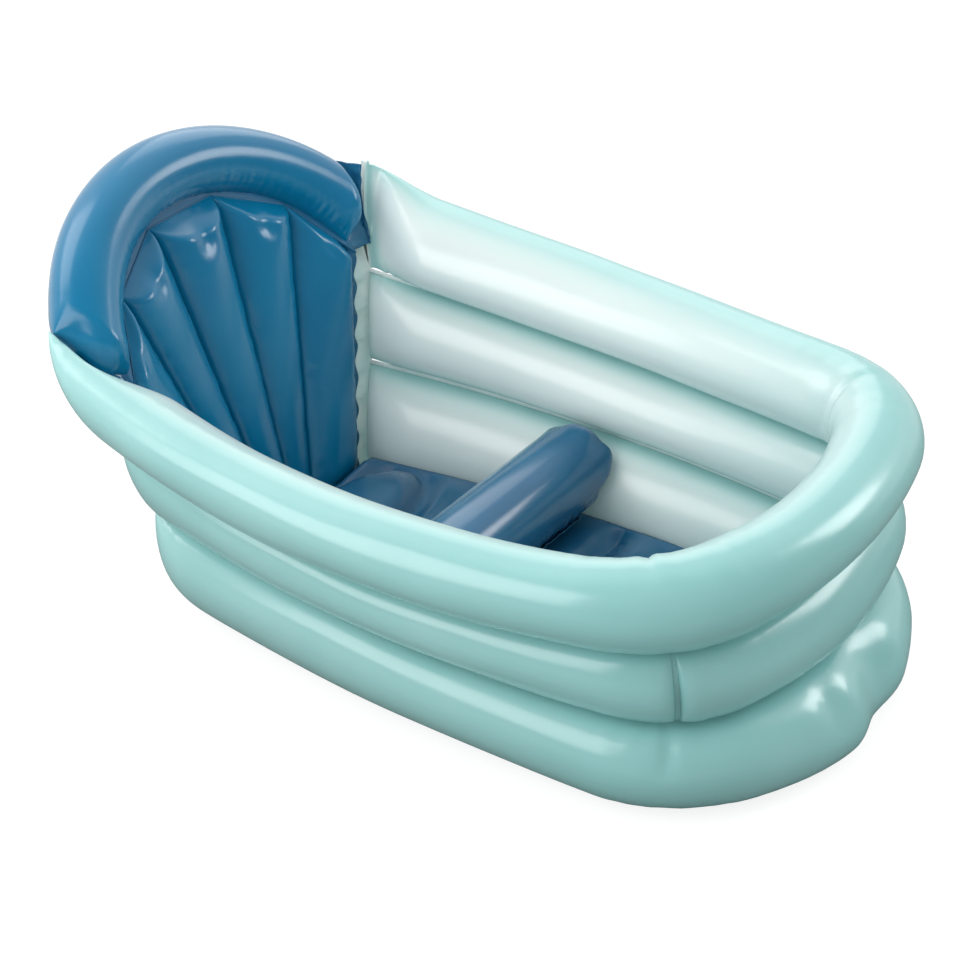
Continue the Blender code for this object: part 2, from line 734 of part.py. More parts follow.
def floor_mesh(name):
    """Crowned floor stretched between the foot of the wall and the backrest."""
    seam = CORNER_SEAM_SHARE
    first = floor_edge(0)
    start_x = HEAD_FOOT_X + backrest_reach(first.y) + FLOOR_CLEARANCE
    start = (start_x - first.x) / (floor_edge(seam).x - first.x) * seam

    def edge_point(share):
        return floor_edge(start + (seam - start) * share)

    def foot_point(share):
        return floor_edge(seam + (2 - 2 * seam) * share)

    near_head = edge_point(0)
    near_foot = edge_point(1)
    grid = []
    for row in range(FLOOR_ROWS + 1):
        along = row / FLOOR_ROWS
        line = []
        near = edge_point(along)
        far = Vector((near.x, -near.y, 0))
        for column in range(FLOOR_COLUMNS + 1):
            across = column / FLOOR_COLUMNS
            low = near_head.lerp(Vector((near_head.x, -near_head.y, 0)), across)
            nearer = backrest_reach(low.y) - backrest_reach(near_head.y)
            head = low + Vector((nearer, 0, 0))
            foot = foot_point(across)
            blend = near.lerp(far, across) + head.lerp(foot, along)
            high = near_foot.lerp(Vector((near_foot.x, -near_foot.y, 0)), across)
            point = blend - low.lerp(high, along)
            side_edge = min(across, 1 - across) / FLOOR_EDGE_SHARE
            foot_edge = (1 - along) / (FLOOR_EDGE_SHARE / 2)
            point.z = floor_height(point.x, point.y, min(side_edge, foot_edge))
            line.append(point)
        grid.append(line)
    model = bmesh.new()
    top = [[model.verts.new(point) for point in line] for line in grid]
    for row in range(FLOOR_ROWS):
        for column in range(FLOOR_COLUMNS):
            model.faces.new((top[row][column], top[row + 1][column],
                             top[row + 1][column + 1], top[row][column + 1]))
    border = top[0][:-1]
    border = border + [line[-1] for line in top[:-1]]
    border = border + list(reversed(top[-1]))[:-1]
    border = border + [line[0] for line in reversed(top)][:-1]
    under = [model.verts.new((vert.co.x, vert.co.y, BASE_TOP)) for vert in border]
    count = len(border)
    for index in range(count):
        other = (index + 1) % count
        model.faces.new((border[index], border[other], under[other], under[index]))
    model.faces.new(under)
    bmesh.ops.recalc_face_normals(model, faces=model.faces)
    mesh = bpy.data.meshes.new(name)
    model.to_mesh(mesh)
    model.free()
    return mesh


def wall_inside_y(x, height):
    """How far out the inner face of the side wall lies at a place and height."""
    share = SIDE_RUN_SHARE / CORNER_START_SHARE
    share *= (x - bottom_line(0).x) / (BOTTOM_LINE_SHARES[2] * HALF_LENGTH - bottom_line(0).x)
    lines = (bottom_line, lower_weld, LOWER_SWELL), (lower_weld, upper_weld, MIDDLE_SWELL)
    for low_line, high_line, swell in lines:
        low = low_line(share)
        high = high_line(share)
        if height <= high.z:
            centre = (low + high) / 2
            rise = (height - centre.z) / (high.z - centre.z)
            return abs(centre.y + (high.y - centre.y) * rise) - swell * math.sqrt(max(0, 1 - rise ** 2))
    return abs(high.y)


def bolster_half_length(height_over_centre, centre_z):
    """Half length of the bolster at a height, following the lean of the side walls."""
    levels = (-1, -0.5, 0, 0.5, 1)
    slope = math.tan(BOLSTER_END_LEAN)
    room = min(
        wall_inside_y(BOLSTER_X + side * BOLSTER_RADIUS, centre_z + level * BOLSTER_RADIUS)
        - slope * level * BOLSTER_RADIUS
        for level in levels
        for side in (-1, 0, 1)
    )
    return room - BOLSTER_CLEARANCE + slope * height_over_centre


def bolster_rings(centre_z):
    """Rings of the bolster: a roll whose folded ends lean with the walls."""
    fillet = BOLSTER_END_FILLET
    rings = []
    profile = []
    for index in range(BOLSTER_END_STEPS):
        angle = math.pi / 2 * index / (BOLSTER_END_STEPS - 1)
        inset = fillet * (1 - math.cos(math.pi / 2 - angle))
        radius = BOLSTER_RADIUS - fillet + fillet * math.cos(math.pi / 2 - angle)
        profile.append((inset, radius))
    for side in (-1, 1):
        order = profile if side < 0 else list(reversed(profile))
        for inset, radius in order:
            ring = []
            for step in range(BOLSTER_SIDES):
                angle = 2 * math.pi * step / BOLSTER_SIDES
                over = radius * math.sin(angle)
                reach = bolster_half_length(over, centre_z) - inset
                ring.append(Vector((BOLSTER_X + radius * math.cos(angle), side * reach, centre_z + over)))
            rings.append(ring)
    return rings


def build_floor(parts):
    """Air floor, bolster roll and the strip that welds the roll down."""
    floor = add_piece("floor_mat", floor_mesh("floor_mat"), parts, BLUE)
    radius = BOLSTER_RADIUS
    centre_z = FLOOR_HEIGHT + GAP + radius
    half = bolster_half_length(-radius, centre_z)
    fillet = BOLSTER_END_FILLET
    add_piece("bolster_roll", loft("bolster_roll", bolster_rings(centre_z)), parts, BLUE)
    lean = BOLSTER_STRIP_LEAN
    touch = radius + FILM / 2 + GAP
    root = Vector((BOLSTER_X + touch * math.sin(lean), 0, centre_z - touch * math.cos(lean)))
    along = Vector((math.cos(lean), 0, math.sin(lean)))
    across = Vector((math.sin(lean), 0, -math.cos(lean)))
    rings = []
    for side in (-1, -0.5, 0, 0.5, 1):
        middle = root + Vector((0, side * (half - fillet), 0))
        rings.append([middle - across * FILM / 2,
                      middle + along * BOLSTER_STRIP - across * FILM / 2,
                      middle + along * BOLSTER_STRIP + across * FILM / 2,
                      middle + across * FILM / 2])
    add_piece("bolster_weld_strip", loft("bolster_weld_strip", rings), parts, BLUE)
    return floor


# Backrest


def seam_along(across):
    """How far up the headrest plane the seam below the head roll lies."""
    above_centre = math.sqrt(BACKREST_SEAM_RADIUS ** 2 - across ** 2)
    return above_centre + HEADREST_REACH - HEADREST_BOW_RADIUS


def backrest_top(share):
    """Outline of the backrest's top, straight between rib heads, at a share from -1 to 1."""
    half = backrest_edge_y(HEADREST_BEND_HEIGHT)
    ribs = (-1, -RIB_HEAD_SHARES[1], -RIB_HEAD_SHARES[0], RIB_HEAD_SHARES[0], RIB_HEAD_SHARES[1], 1)
    for left, right in zip(ribs, ribs[1:]):
        if share <= right:
            part = (share - left) / (right - left)
            start = seam_along(left * half)
            return start + (seam_along(right * half) - start) * part
    return seam_along(half)


def backrest_mesh(name):
    """Fan of air channels: ribs run from a narrow foot to the seam under the head roll."""
    ribs_foot = [-1, -RIB_FOOT_SHARES[1], -RIB_FOOT_SHARES[0], RIB_FOOT_SHARES[0],
                 RIB_FOOT_SHARES[1], 1]
    ribs_head = [-1, -RIB_HEAD_SHARES[1], -RIB_HEAD_SHARES[0], RIB_HEAD_SHARES[0],
                 RIB_HEAD_SHARES[1], 1]
    low = BASE_TOP + BACKREST_LIFT
    bend = HEADREST_BEND_HEIGHT
    columns = []
    for channel in range(5):
        for step in range(CHANNEL_COLUMNS):
            columns.append((channel, step / CHANNEL_COLUMNS))
    columns.append((4, 1))
    front = []
    back = []
    for row in range(BACKREST_ROWS + 1):
        part = row / BACKREST_ROWS
        front_line = []
        back_line = []
        for channel, inside in columns:
            foot = ribs_foot[channel] + (ribs_foot[channel + 1] - ribs_foot[channel]) * inside
            head = ribs_head[channel] + (ribs_head[channel + 1] - ribs_head[channel]) * inside
            head_half = backrest_edge_y(bend) - GAP
            foot_half = backrest_edge_y(low) - GAP
            top_height = bend + backrest_top(head) * math.cos(HEADREST_LEAN)
            rib_foot = Vector((head_x(low), foot * foot_half, low))
            rib_head = Vector((head_x(top_height), head * (backrest_edge_y(top_height) - GAP), top_height))
            rib = rib_head - rib_foot
            width = ((ribs_head[channel + 1] - ribs_head[channel]) * part * head_half
                     + (ribs_foot[channel + 1] - ribs_foot[channel]) * (1 - part) * foot_half)
            crown = math.sqrt(max(0, 1 - (2 * inside - 1) ** 2))
            ends = min(rounding(part * (top_height - low), width / 2),
                       rounding((1 - part) * (top_height - low), width / 2))
            swell = FILM / 2 + BACKREST_FULLNESS * width * crown * ends
            base = rib_foot + rib * part
            normal = Vector((rib.z, 0, -rib.x)).normalized()
            front_line.append(base + normal * swell)
            back_line.append(base - normal * swell)
        front.append(front_line)
        back.append(back_line)
    model = bmesh.new()
    fronts = [[model.verts.new(point) for point in line] for line in front]
    backs = [[model.verts.new(point) for point in line] for line in back]
    count = len(columns)
    for row in range(BACKREST_ROWS):
        for column in range(count - 1):
            model.faces.new((fronts[row][column], fronts[row][column + 1],
                             fronts[row + 1][column + 1], fronts[row + 1][column]))
            model.faces.new((backs[row][column + 1], backs[row][column],
                             backs[row + 1][column], backs[row + 1][column + 1]))
        for column in (0, count - 1):
            model.faces.new((fronts[row][column], fronts[row + 1][column],
                             backs[row + 1][column], backs[row][column]))
    for row in (0, BACKREST_ROWS):
        for column in range(count - 1):
            model.faces.new((fronts[row][column], backs[row][column],
                             backs[row][column + 1], fronts[row][column + 1]))
    bmesh.ops.recalc_face_normals(model, faces=model.faces)
    mesh = bpy.data.meshes.new(name)
    model.to_mesh(mesh)
    model.free()
    return mesh


def roll_end_along(across):
    """How far up the headrest plane the film may reach past the sealed end of the roll."""
    centre_along = HEADREST_REACH - HEADREST_BOW_RADIUS
    return centre_along + abs(across) / math.tan(HEADREST_HALF_ANGLE) - SEAM_STRIP - 3 * GAP


def seam_strip_rings():
    """Film between the head roll and the straight-sided top of the fan."""
    half = backrest_edge_y(HEADREST_BEND_HEIGHT)
    outer = HEADREST_BOW_RADIUS - HEADREST_RADIUS - GAP
    centre_along = HEADREST_REACH - HEADREST_BOW_RADIUS
    ribs = (-1, -RIB_HEAD_SHARES[1], -RIB_HEAD_SHARES[0], RIB_HEAD_SHARES[0], RIB_HEAD_SHARES[1], 1)
    shares = []
    for left, right in zip(ribs, ribs[1:]):
        for step in range(SEAM_STRIP_STEPS):
            shares.append(left + (right - left) * step / SEAM_STRIP_STEPS)
    rings = []
    for share in shares[1:]:
        across = half * share
        inner_along = backrest_top(share) + 2 * GAP
        outer_along = centre_along + math.sqrt(outer ** 2 - across ** 2)
        ring = []
        for along, side in ((inner_along, -1), (outer_along, -1), (outer_along, 1), (inner_along, 1)):
            height = HEADREST_BEND_HEIGHT + along * math.cos(HEADREST_LEAN)
            ring.append(head_point(across, height, side * FILM / 2))
        rings.append(ring)
    return rings


def margin_top():
    """Height at which the upright margins end, below the sealed end of the head roll."""
    along = roll_end_along(BACKREST_TOP_HALF_WIDTH) - END_FLAP_HEIGHT
    return HEADREST_BEND_HEIGHT + along * math.cos(HEADREST_LEAN)


def end_flap_rings(side):
    """Film past the sealed end of the head roll, down to the corner of the fan."""
    centre_along = HEADREST_REACH - HEADREST_BOW_RADIUS
    outer = HEADREST_BOW_RADIUS - HEADREST_RADIUS - GAP
    half = backrest_edge_y(HEADREST_BEND_HEIGHT)
    strip_share = 1 - (1 - RIB_HEAD_SHARES[1]) / SEAM_STRIP_STEPS
    strip_end = half * strip_share
    corner_along = seam_along(half)
    corner_height = HEADREST_BEND_HEIGHT + corner_along * math.cos(HEADREST_LEAN)
    margin_along = roll_end_along(BACKREST_TOP_HALF_WIDTH) - END_FLAP_HEIGHT
    margin_end = backrest_edge_y(margin_top())
    flap_reach = UPPER_WELD_SHARES[0] * HALF_WIDTH + END_FLAP_TUCK
    stations = [
        (outer * math.sin(HEADREST_HALF_ANGLE) + SEAM_STRIP, None),
        (strip_end, None),
        (strip_end + GAP, backrest_top(strip_share)),
        (backrest_edge_y(corner_height), corner_along),
        (margin_end, margin_along),
    ]
    for step in range(1, END_FLAP_STEPS + 1):
        across = margin_end + (flap_reach - margin_end) * step / END_FLAP_STEPS
        stations.append((across, margin_along))
    rings = []
    for across, low_along in stations:
        if low_along is None:
            low_along = centre_along + math.sqrt(outer ** 2 - across ** 2)
        ring = []
        for along, face in (
            (low_along + 3 * GAP, -1),
            (roll_end_along(across), -1),
            (roll_end_along(across), 1),
            (low_along + 3 * GAP, 1),
        ):
            height = HEADREST_BEND_HEIGHT + along * math.cos(HEADREST_LEAN)
            ring.append(head_point(side * across, height, face * FILM / 2))
        rings.append(ring)
    return rings


def build_backrest(parts, cutters):
    """Backrest fan, head roll, seam strip and the flat margins at both sides."""
    panel = add_piece("backrest_panel", backrest_mesh("backrest_panel"), parts, BLUE)
    roll = add_piece("headrest_roll", loft("headrest_roll", headrest_rings()), parts, BLUE)
    add_piece("headrest_seam_strip", loft("headrest_seam_strip", seam_strip_rings()), parts, BLUE)
    grown = loft("ring_clearance", upper_rings(GAP))
    clearance = add_cutter("ring_clearance", grown, cutters)
    cut(roll, clearance)
    for name, side in (("near", -1), ("far", 1)):
        label = "headrest_end_flap_" + name
        cut(add_piece(label, loft(label, end_flap_rings(side)), parts, BLUE), clearance)
    low = BASE_TOP + BACKREST_LIFT
    bend = HEADREST_BEND_HEIGHT
    top = margin_top() - MARGIN_WAVE
    for name, side in (("near", -1), ("far", 1)):
        wall_strip = strip_rings(wall_end_x, GAP, WALL_MARGIN, FILM / 2 + GAP, 1, low, top, side)
        label = "wall_head_margin_" + name
        add_piece(label, loft(label, wall_strip), parts, MINT_SHADE)
        blue_strip = strip_rings(head_x, GAP, BACKREST_MARGIN, -FILM / 2, -1, low, top, side)
        label = "backrest_margin_" + name
        add_piece(label, loft(label, blue_strip), parts, BLUE)
    return panel, roll


# Valves and drain


def valve_seat(piece, name, place, axis, cutters):
    """Flat seat and pocket that a push-in valve needs in a chamber."""
    depth = VALVE_TRAVEL + VALVE_FOOT_THICKNESS + 2 * VALVE_CLEARANCE
    pocket_radius = VALVE_FOOT_RADIUS + VALVE_CLEARANCE
    seat_radius = VALVE_PATCH_RADIUS + GAP
    seat = cylinder_mesh(name + "_seat", seat_radius, 0, VALVE_RECESS_HEIGHT, TURN_STEPS * 2)
    pocket = cylinder_mesh(name + "_pocket", pocket_radius, -depth, CUT_OVERRUN, TURN_STEPS)
    for mesh in (seat, pocket):
        cutter = add_cutter(mesh.name, mesh, cutters)
        stand_along(cutter, place, axis)
        cut(piece, cutter)


def add_valve(name, place, axis, parts):
    """Welded patch, push-in stem and its plug, stacked along the valve axis."""
    patch_top = GAP + VALVE_PATCH_THICKNESS
    hole = VALVE_STEM_RADIUS + VALVE_CLEARANCE
    patch = turned("valve_patch_" + name, [
        (hole, patch_top),
        (VALVE_PATCH_RADIUS, patch_top),
        (VALVE_PATCH_RADIUS, GAP),
        (hole, GAP),
        (hole, patch_top),
    ], parts, CLEAR_WHITE)
    rim_low = patch_top + GAP
    rim_top = rim_low + VALVE_COLLAR_THICKNESS
    foot_top = GAP - VALVE_CLEARANCE - VALVE_TRAVEL
    foot_low = foot_top - VALVE_FOOT_THICKNESS
    stem = turned("valve_stem_" + name, [
        (VALVE_BORE_RADIUS, rim_top),
        (VALVE_COLLAR_RADIUS, rim_top),
        (VALVE_COLLAR_RADIUS, rim_low),
        (VALVE_STEM_RADIUS, rim_low),
        (VALVE_STEM_RADIUS, foot_top),
        (VALVE_FOOT_RADIUS, foot_top),
        (VALVE_FOOT_RADIUS, foot_low),
        (VALVE_BORE_RADIUS, foot_low),
        (VALVE_BORE_RADIUS, rim_top),
    ], parts, CLEAR_WHITE)
    cap_low = rim_top + GAP
    cap_top = cap_low + VALVE_CAP_THICKNESS
    plug = turned("valve_plug_" + name, [
        (0, cap_top + VALVE_NUB_HEIGHT),
        (VALVE_NUB_RADIUS, cap_top + VALVE_NUB_HEIGHT),
        (VALVE_NUB_RADIUS, cap_top),
        (VALVE_CAP_RADIUS, cap_top),
        (VALVE_CAP_RADIUS, cap_low),
        (VALVE_PIN_RADIUS, cap_low),
        (VALVE_PIN_RADIUS, cap_low - VALVE_PIN_LENGTH),
        (0, cap_low - VALVE_PIN_LENGTH),
    ], parts, CLEAR_WHITE)
    for piece in (patch, stem, plug):
        stand_along(piece, place, axis)


def chamber_crown(low_line, high_line, swell, share):
    """Outermost point of a chamber at a share of its run, and the way out from it."""
    axis = outward(low_line, high_line, share)
    return (low_line(share) + high_line(share)) / 2 + axis * swell, axis


def build_valves(ring, floor, roll, parts, cutters):
    """One valve for each separate air space, on the sides turned away from the bather."""
    upper_point, upper_axis = chamber_crown(upper_weld, rim_line, UPPER_SWELL, VALVE_SHARE)
    lower_point, lower_axis = chamber_crown(bottom_line, lower_weld, LOWER_SWELL, VALVE_SHARE)
    back_axis = Vector((-math.cos(HEADREST_LEAN), 0, -math.sin(HEADREST_LEAN)))
    back_point = headrest_arc(HEADREST_BOW_RADIUS, 0) + back_axis * HEADREST_RADIUS
    floor_axis = Vector((0, 0, 1))
    floor_valve_x = floor_edge(1).x - FLOOR_VALVE_INSET
    floor_point = Vector((floor_valve_x, FLOOR_VALVE_Y, FLOOR_SEAT_HEIGHT + VALVE_SEAT_DEPTH))
    rows = (
        ("upper_wall", ring["upper_wall_tube"], upper_point, upper_axis),
        ("lower_wall", ring["lower_wall_tube"], lower_point, lower_axis),
        ("backrest", roll, back_point, back_axis),
        ("floor", floor, floor_point, floor_axis),
    )
    for name, piece, crown, axis in rows:
        place = crown - axis * VALVE_SEAT_DEPTH
        valve_seat(piece, name, place, axis, cutters)
        add_valve(name, place, axis, parts)


def build_drain(floor, base, parts, cutters):
    """Drain collar through the floor and its lift-out plug."""
    sides = TURN_STEPS * 2
    drain_x = floor_edge(1).x - DRAIN_INSET
    top = FLOOR_SEAT_HEIGHT
    low = BASE_TOP + GAP
    seat = cylinder_mesh("drain_seat", DRAIN_FLANGE_RADIUS + VALVE_CLEARANCE, top, top + FLOOR_HEIGHT, sides)
    bore = cylinder_mesh("drain_bore", DRAIN_RADIUS + VALVE_CLEARANCE, -CUT_OVERRUN, top + CUT_OVERRUN, sides)
    outlet = cylinder_mesh("drain_outlet", DRAIN_BORE_RADIUS, -CUT_OVERRUN, CUT_OVERRUN, sides)
    for mesh, piece in ((seat, floor), (bore, floor), (outlet, base)):
        cutter = add_cutter(mesh.name, mesh, cutters)
        cutter.location.x = drain_x
        cut(piece, cutter)
    flange_low = top + GAP
    flange_top = flange_low + DRAIN_FLANGE_THICKNESS
    collar = turned("drain_collar", [
        (DRAIN_BORE_RADIUS, flange_top),
        (DRAIN_FLANGE_RADIUS, flange_top),
        (DRAIN_FLANGE_RADIUS, flange_low),
        (DRAIN_RADIUS, flange_low),
        (DRAIN_RADIUS, low),
        (DRAIN_BORE_RADIUS, low),
        (DRAIN_BORE_RADIUS, flange_top),
    ], parts, CLEAR_WHITE, steps=TURN_STEPS * 2)
    knob_low = flange_top + GAP
    knob_top = knob_low + DRAIN_KNOB_THICKNESS
    plug = turned("drain_plug", [
        (0, knob_top + DRAIN_GRIP_HEIGHT),
        (DRAIN_GRIP_RADIUS, knob_top + DRAIN_GRIP_HEIGHT),
        (DRAIN_GRIP_RADIUS, knob_top),
        (DRAIN_KNOB_RADIUS, knob_top),
        (DRAIN_KNOB_RADIUS, knob_low),
        (DRAIN_PLUG_RADIUS, knob_low),
        (DRAIN_PLUG_RADIUS, knob_low - DRAIN_PLUG_LENGTH),
        (0, knob_low - DRAIN_PLUG_LENGTH),
    ], parts, CLEAR_WHITE, steps=TURN_STEPS * 2)
    for piece in (collar, plug):
        piece.location.x = drain_x


def main():
    """Build the whole tub."""
    clear_scene()
    parts = new_collection("inflatable_bathtub")
    cutters = new_collection("cutters")
    ring = build_ring(parts)
    base = build_base(parts)
    floor = build_floor(parts)
    panel, roll = build_backrest(parts, cutters)
    build_valves(ring, floor, roll, parts, cutters)
    build_drain(floor, base, parts, cutters)


main()
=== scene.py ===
"""Inflatable baby bathtub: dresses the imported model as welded, inflated film.

Metres, +Z up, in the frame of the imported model. +X runs to the foot end and
the near side is -Y.
"""

import math

import bmesh
import bpy
from bpy.props import FloatProperty, FloatVectorProperty, IntProperty, PointerProperty, StringProperty
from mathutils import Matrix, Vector, noise


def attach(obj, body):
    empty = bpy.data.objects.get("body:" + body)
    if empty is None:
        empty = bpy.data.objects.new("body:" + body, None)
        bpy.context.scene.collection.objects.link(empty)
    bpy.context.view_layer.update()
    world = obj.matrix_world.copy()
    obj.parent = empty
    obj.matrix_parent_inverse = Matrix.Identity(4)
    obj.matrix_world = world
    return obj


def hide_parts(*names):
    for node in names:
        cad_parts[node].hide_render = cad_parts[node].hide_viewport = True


bl_info = {
    "name": "Inflatable baby bathtub",
    "version": (1, 0, 0),
    "blender": (4, 5, 0),
    "location": "View3D > Sidebar > Bathtub",
    "description": "Builds an inflatable baby bathtub of welded film over its packed model",
    "category": "Add Mesh",
}

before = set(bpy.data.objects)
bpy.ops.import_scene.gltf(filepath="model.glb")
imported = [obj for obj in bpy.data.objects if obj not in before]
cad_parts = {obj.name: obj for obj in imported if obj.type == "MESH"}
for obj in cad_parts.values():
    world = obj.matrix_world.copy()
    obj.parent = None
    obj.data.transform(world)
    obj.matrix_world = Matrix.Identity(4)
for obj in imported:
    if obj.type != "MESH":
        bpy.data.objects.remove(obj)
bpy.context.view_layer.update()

# Tub sizes that every piece shares
HALF_LENGTH = 0.468
HALF_WIDTH = 0.314
WALL_HEIGHT = 0.285
FILM = 0.0012
SHEET = 0.0008
GAP = 0.0003
BASE_TOP = 0.0013
SHEET_FOOT = 0.0015
PVC_IOR = 1.53

# Weld lines: y at the head, y at mid side, corner x, corner y, x at the foot
BOTTOM_LINE = (0.495, 0.63, 0.7298, 0.625, 0.9293)
LOWER_WELD = (0.605, 0.723, 0.7663, 0.635, 0.8698)
UPPER_WELD = (0.685, 0.81, 0.7653, 0.667, 0.8443)
RIM = (0.765, 0.889, 0.7263, 0.721, 0.8523)
LOWER_WELD_HEIGHTS = (0.420, 0.377, 0.3565)
UPPER_WELD_HEIGHTS = (0.779, 0.656, 0.677)
RIM_HEIGHTS = (1.135, 0.975, 0.998)
CORNER_START = 0.90
CORNER_END = 0.30
SIDE_RUN = 0.684
CORNER_RUN = 0.818
CORNER_SEAM = (SIDE_RUN + CORNER_RUN) / 2
FOOT_DENT = 1.035

# Head end surface
HEAD_FOOT_X = -0.26695
HEAD_LEAN = math.radians(9.3)
HEADREST_LEAN = math.radians(42.6)
BEND_HEIGHT = 0.275
BEND_BLEND = 0.030
PANEL_FOOT_HALF = 0.1235
PANEL_FLARE = math.radians(13.3)
PANEL_LOW = BASE_TOP + 0.0025
RIB_FEET = (-1, -0.355, -0.125, 0.125, 0.355, 1)
RIB_HEADS = (-1, -0.727, -0.272, 0.272, 0.727, 1)
ROLL_RADIUS = 0.0385
ROLL_REACH = 0.1545
ROLL_BOW = 0.237
SEAM_STRIP = 0.0025
ROLL_CENTRE = ROLL_REACH - ROLL_BOW
ROLL_CORNER = math.radians(10.5)
FAR_END_X = -0.334

# Floor and bolster
BOLSTER_X = 0.00275
BOLSTER_RADIUS = 0.0485
BOLSTER_CENTRE_Z = 0.0858
DRAIN_X = 0.31668

# Push-in valves: place and outward direction of each flat seat
VALVES = {
    "upper_wall": ((-0.19689, 0.29685, 0.25009), (-0.13334, 0.99107, 0.0)),
    "lower_wall": ((-0.15039, 0.23704, 0.05753), (-0.1391, 0.99028, 0.0)),
    "backrest": ((-0.45358, 0.0, 0.36508), (-0.7361, 0.0, -0.67688)),
    "floor": ((0.24868, -0.085, 0.0235), (0.0, 0.0, 1.0)),
}
# Seats pressed flat: place, direction, radius of the flat, radius where the film is free again
SEATS = [(Vector(place), Vector(axis), 0.0158, 0.027) for place, axis in VALVES.values()]
SEATS.append((Vector((DRAIN_X, 0, 0.0236)), Vector((0, 0, 1)), 0.0224, 0.036))

# Turned profiles as (radius, height over the seat)
PATCH_PROFILE = ((0.0066, 0.0017), (0.0100, 0.0017), (0.0108, 0.0012), (0.0145, 0.0011), (0.0150, 0.0007),
                 (0.0150, 0.0001), (0.0066, 0.0001), (0.0066, 0.0017))
STEM_PROFILE = ((0.0040, 0.0036), (0.0082, 0.0036), (0.0086, 0.0032), (0.0086, 0.0024), (0.0082, 0.0020),
                (0.0062, 0.0020), (0.0062, -0.0111), (0.0082, -0.0111), (0.0082, -0.0127), (0.0040, -0.0127),
                (0.0040, 0.0036))
PLUG_PROFILE = ((0.0, 0.0081), (0.0020, 0.0081), (0.0026, 0.0075), (0.0026, 0.0057), (0.0070, 0.0057),
                (0.0076, 0.0051), (0.0076, 0.0045), (0.0072, 0.0039), (0.0037, 0.0039), (0.0037, -0.0040),
                (0.0032, -0.0046), (0.0, -0.0046))
COLLAR_PROFILE = ((0.0115, 0.0260), (0.0208, 0.0260), (0.0215, 0.0254), (0.0215, 0.0238), (0.0150, 0.0238),
                  (0.0150, 0.0016), (0.0115, 0.0016), (0.0115, 0.0260))
DRAIN_PLUG_PROFILE = ((0.0, 0.0373), (0.0048, 0.0373), (0.0055, 0.0366), (0.0055, 0.0293), (0.0143, 0.0293),
                      (0.0150, 0.0287), (0.0150, 0.0269), (0.0143, 0.0263), (0.0111, 0.0263), (0.0111, 0.0130),
                      (0.0104, 0.0123), (0.0, 0.0123))


# Settings


def length(name, default, description):
    """Setting in metres."""
    return FloatProperty(name=name, description=description, default=default, unit="LENGTH")


def power(name, default, description):
    """Setting in watts."""
    return FloatProperty(name=name, description=description, default=default, unit="POWER")


def turn(name, degrees, description):
    """Setting for an angle."""
    return FloatProperty(name=name, description=description, default=math.radians(degrees), subtype="ANGLE")


def film_colour(name, default, description):
    """Setting for an sRGB hex colour of film."""
    return StringProperty(name=name, description="sRGB hex colour " + description, default=default)


class BATHTUB_PG_wall(bpy.types.PropertyGroup):
    """Sizes and colour of the ring of air tubes"""

    upper_swell: length("Upper swell", 0.046, "How far the upper tube swells each way")
    middle_swell: length("Middle swell", 0.0325, "How far the middle tube swells each way")
    lower_swell: length("Lower swell", 0.045, "How far the lower tube swells each way")
    weld_width: length("Weld width", 0.006, "Width of the flat weld between two tubes")
    end_rounding: length("End rounding", 0.070, "Length over which a tube narrows to its sealed end")
    flange_rise: length("Flange rise", 0.019, "How far the far end seal stands above the rim")
    pucker: length("Pucker", 0.0009, "Depth of the small gathers beside the welds")
    pucker_pitch: length("Pucker pitch", 0.015, "Distance between two gathers")
    film: film_colour("Film colour", "A2DBD9", "of the mint film")
    deep_film: film_colour("Deep film colour", "91D1CE", "where the mint film is thicker")
    # Painted light: a near-white colour that stands in for the bright light on the tub's inside, also painted on the
    # welds and the head-end flanges
    inner_film: film_colour("Inner film colour", "F4FEFC", "of the film inside the tub")


class BATHTUB_PG_head(bpy.types.PropertyGroup):
    """Sizes and colour of the backrest and its head roll"""

    fullness: FloatProperty(name="Channel fullness", description="Swell of a channel as a share of its width",
                            default=0.30)
    roll_half_angle: turn("Roll half angle", 69.5, "Half of the turn that the head roll takes")
    margin_wave: length("Margin wave", 0.0042, "Height of the waves in the welded margins")
    margin_waves: IntProperty(name="Margin waves", description="Waves along one margin", default=8, min=1)
    film: film_colour("Film colour", "00739C", "of the blue film")
    deep_film: film_colour("Deep film colour", "006590", "in the folds")


class BATHTUB_PG_floor(bpy.types.PropertyGroup):
    """Sizes and colour of the air floor and bolster"""

    height: length("Floor height", 0.037, "Top of the air floor")
    seat_rise: length("Seat rise", 0.013, "Rise of the seat dome")
    seat_groove: length("Seat groove", 0.012, "Depth of the groove round the dome")
    rib_depth: length("Leg rib depth", 0.016, "Depth of the valleys between the leg ribs")
    film: film_colour("Film colour", "24698F", "of the dark blue film")
    deep_film: film_colour("Deep film colour", "16486F", "in the folds")


class BATHTUB_PG_stage(bpy.types.PropertyGroup):
    """Camera and studio light"""

    azimuth: turn("Azimuth", 34.3283, "Camera turn round the tub")
    elevation: turn("Elevation", 31.5704, "Camera height angle")
    distance: length("Distance", 2.8031, "Camera distance from its target")
    lens: FloatProperty(name="Lens", description="Focal length on a 36 mm sensor", default=96.779, unit="CAMERA")
    target: FloatVectorProperty(name="Target", description="Point that the camera looks at",
                                default=(-0.01574, 0.03679, 0.11549), subtype="TRANSLATION")
    key_power: power("Key power", 34.0, "Power of the large lamp at the near side")
    fill_power: power("Fill power", 14.0, "Power of the small lamp past the foot at the far side")
    back_power: power("Back power", 10.0, "Power of the large lamp at the far side of the head")
    head_power: power("Head power", 10.0, "Power of the lamp past the head end")
    room: FloatProperty(name="Room light", description="Strength of the white room", default=0.84)
    room_gloss: FloatProperty(name="Room gloss", description="Strength of the room in reflections", default=0.10)


# Curves of the tub


def through_three(first, middle, last, share):
    """Value at a share of the way along a parabola through three values."""
    return (first * (1 - share) * (1 - 2 * share) + middle * 4 * share * (1 - share)
            + last * share * (2 * share - 1))


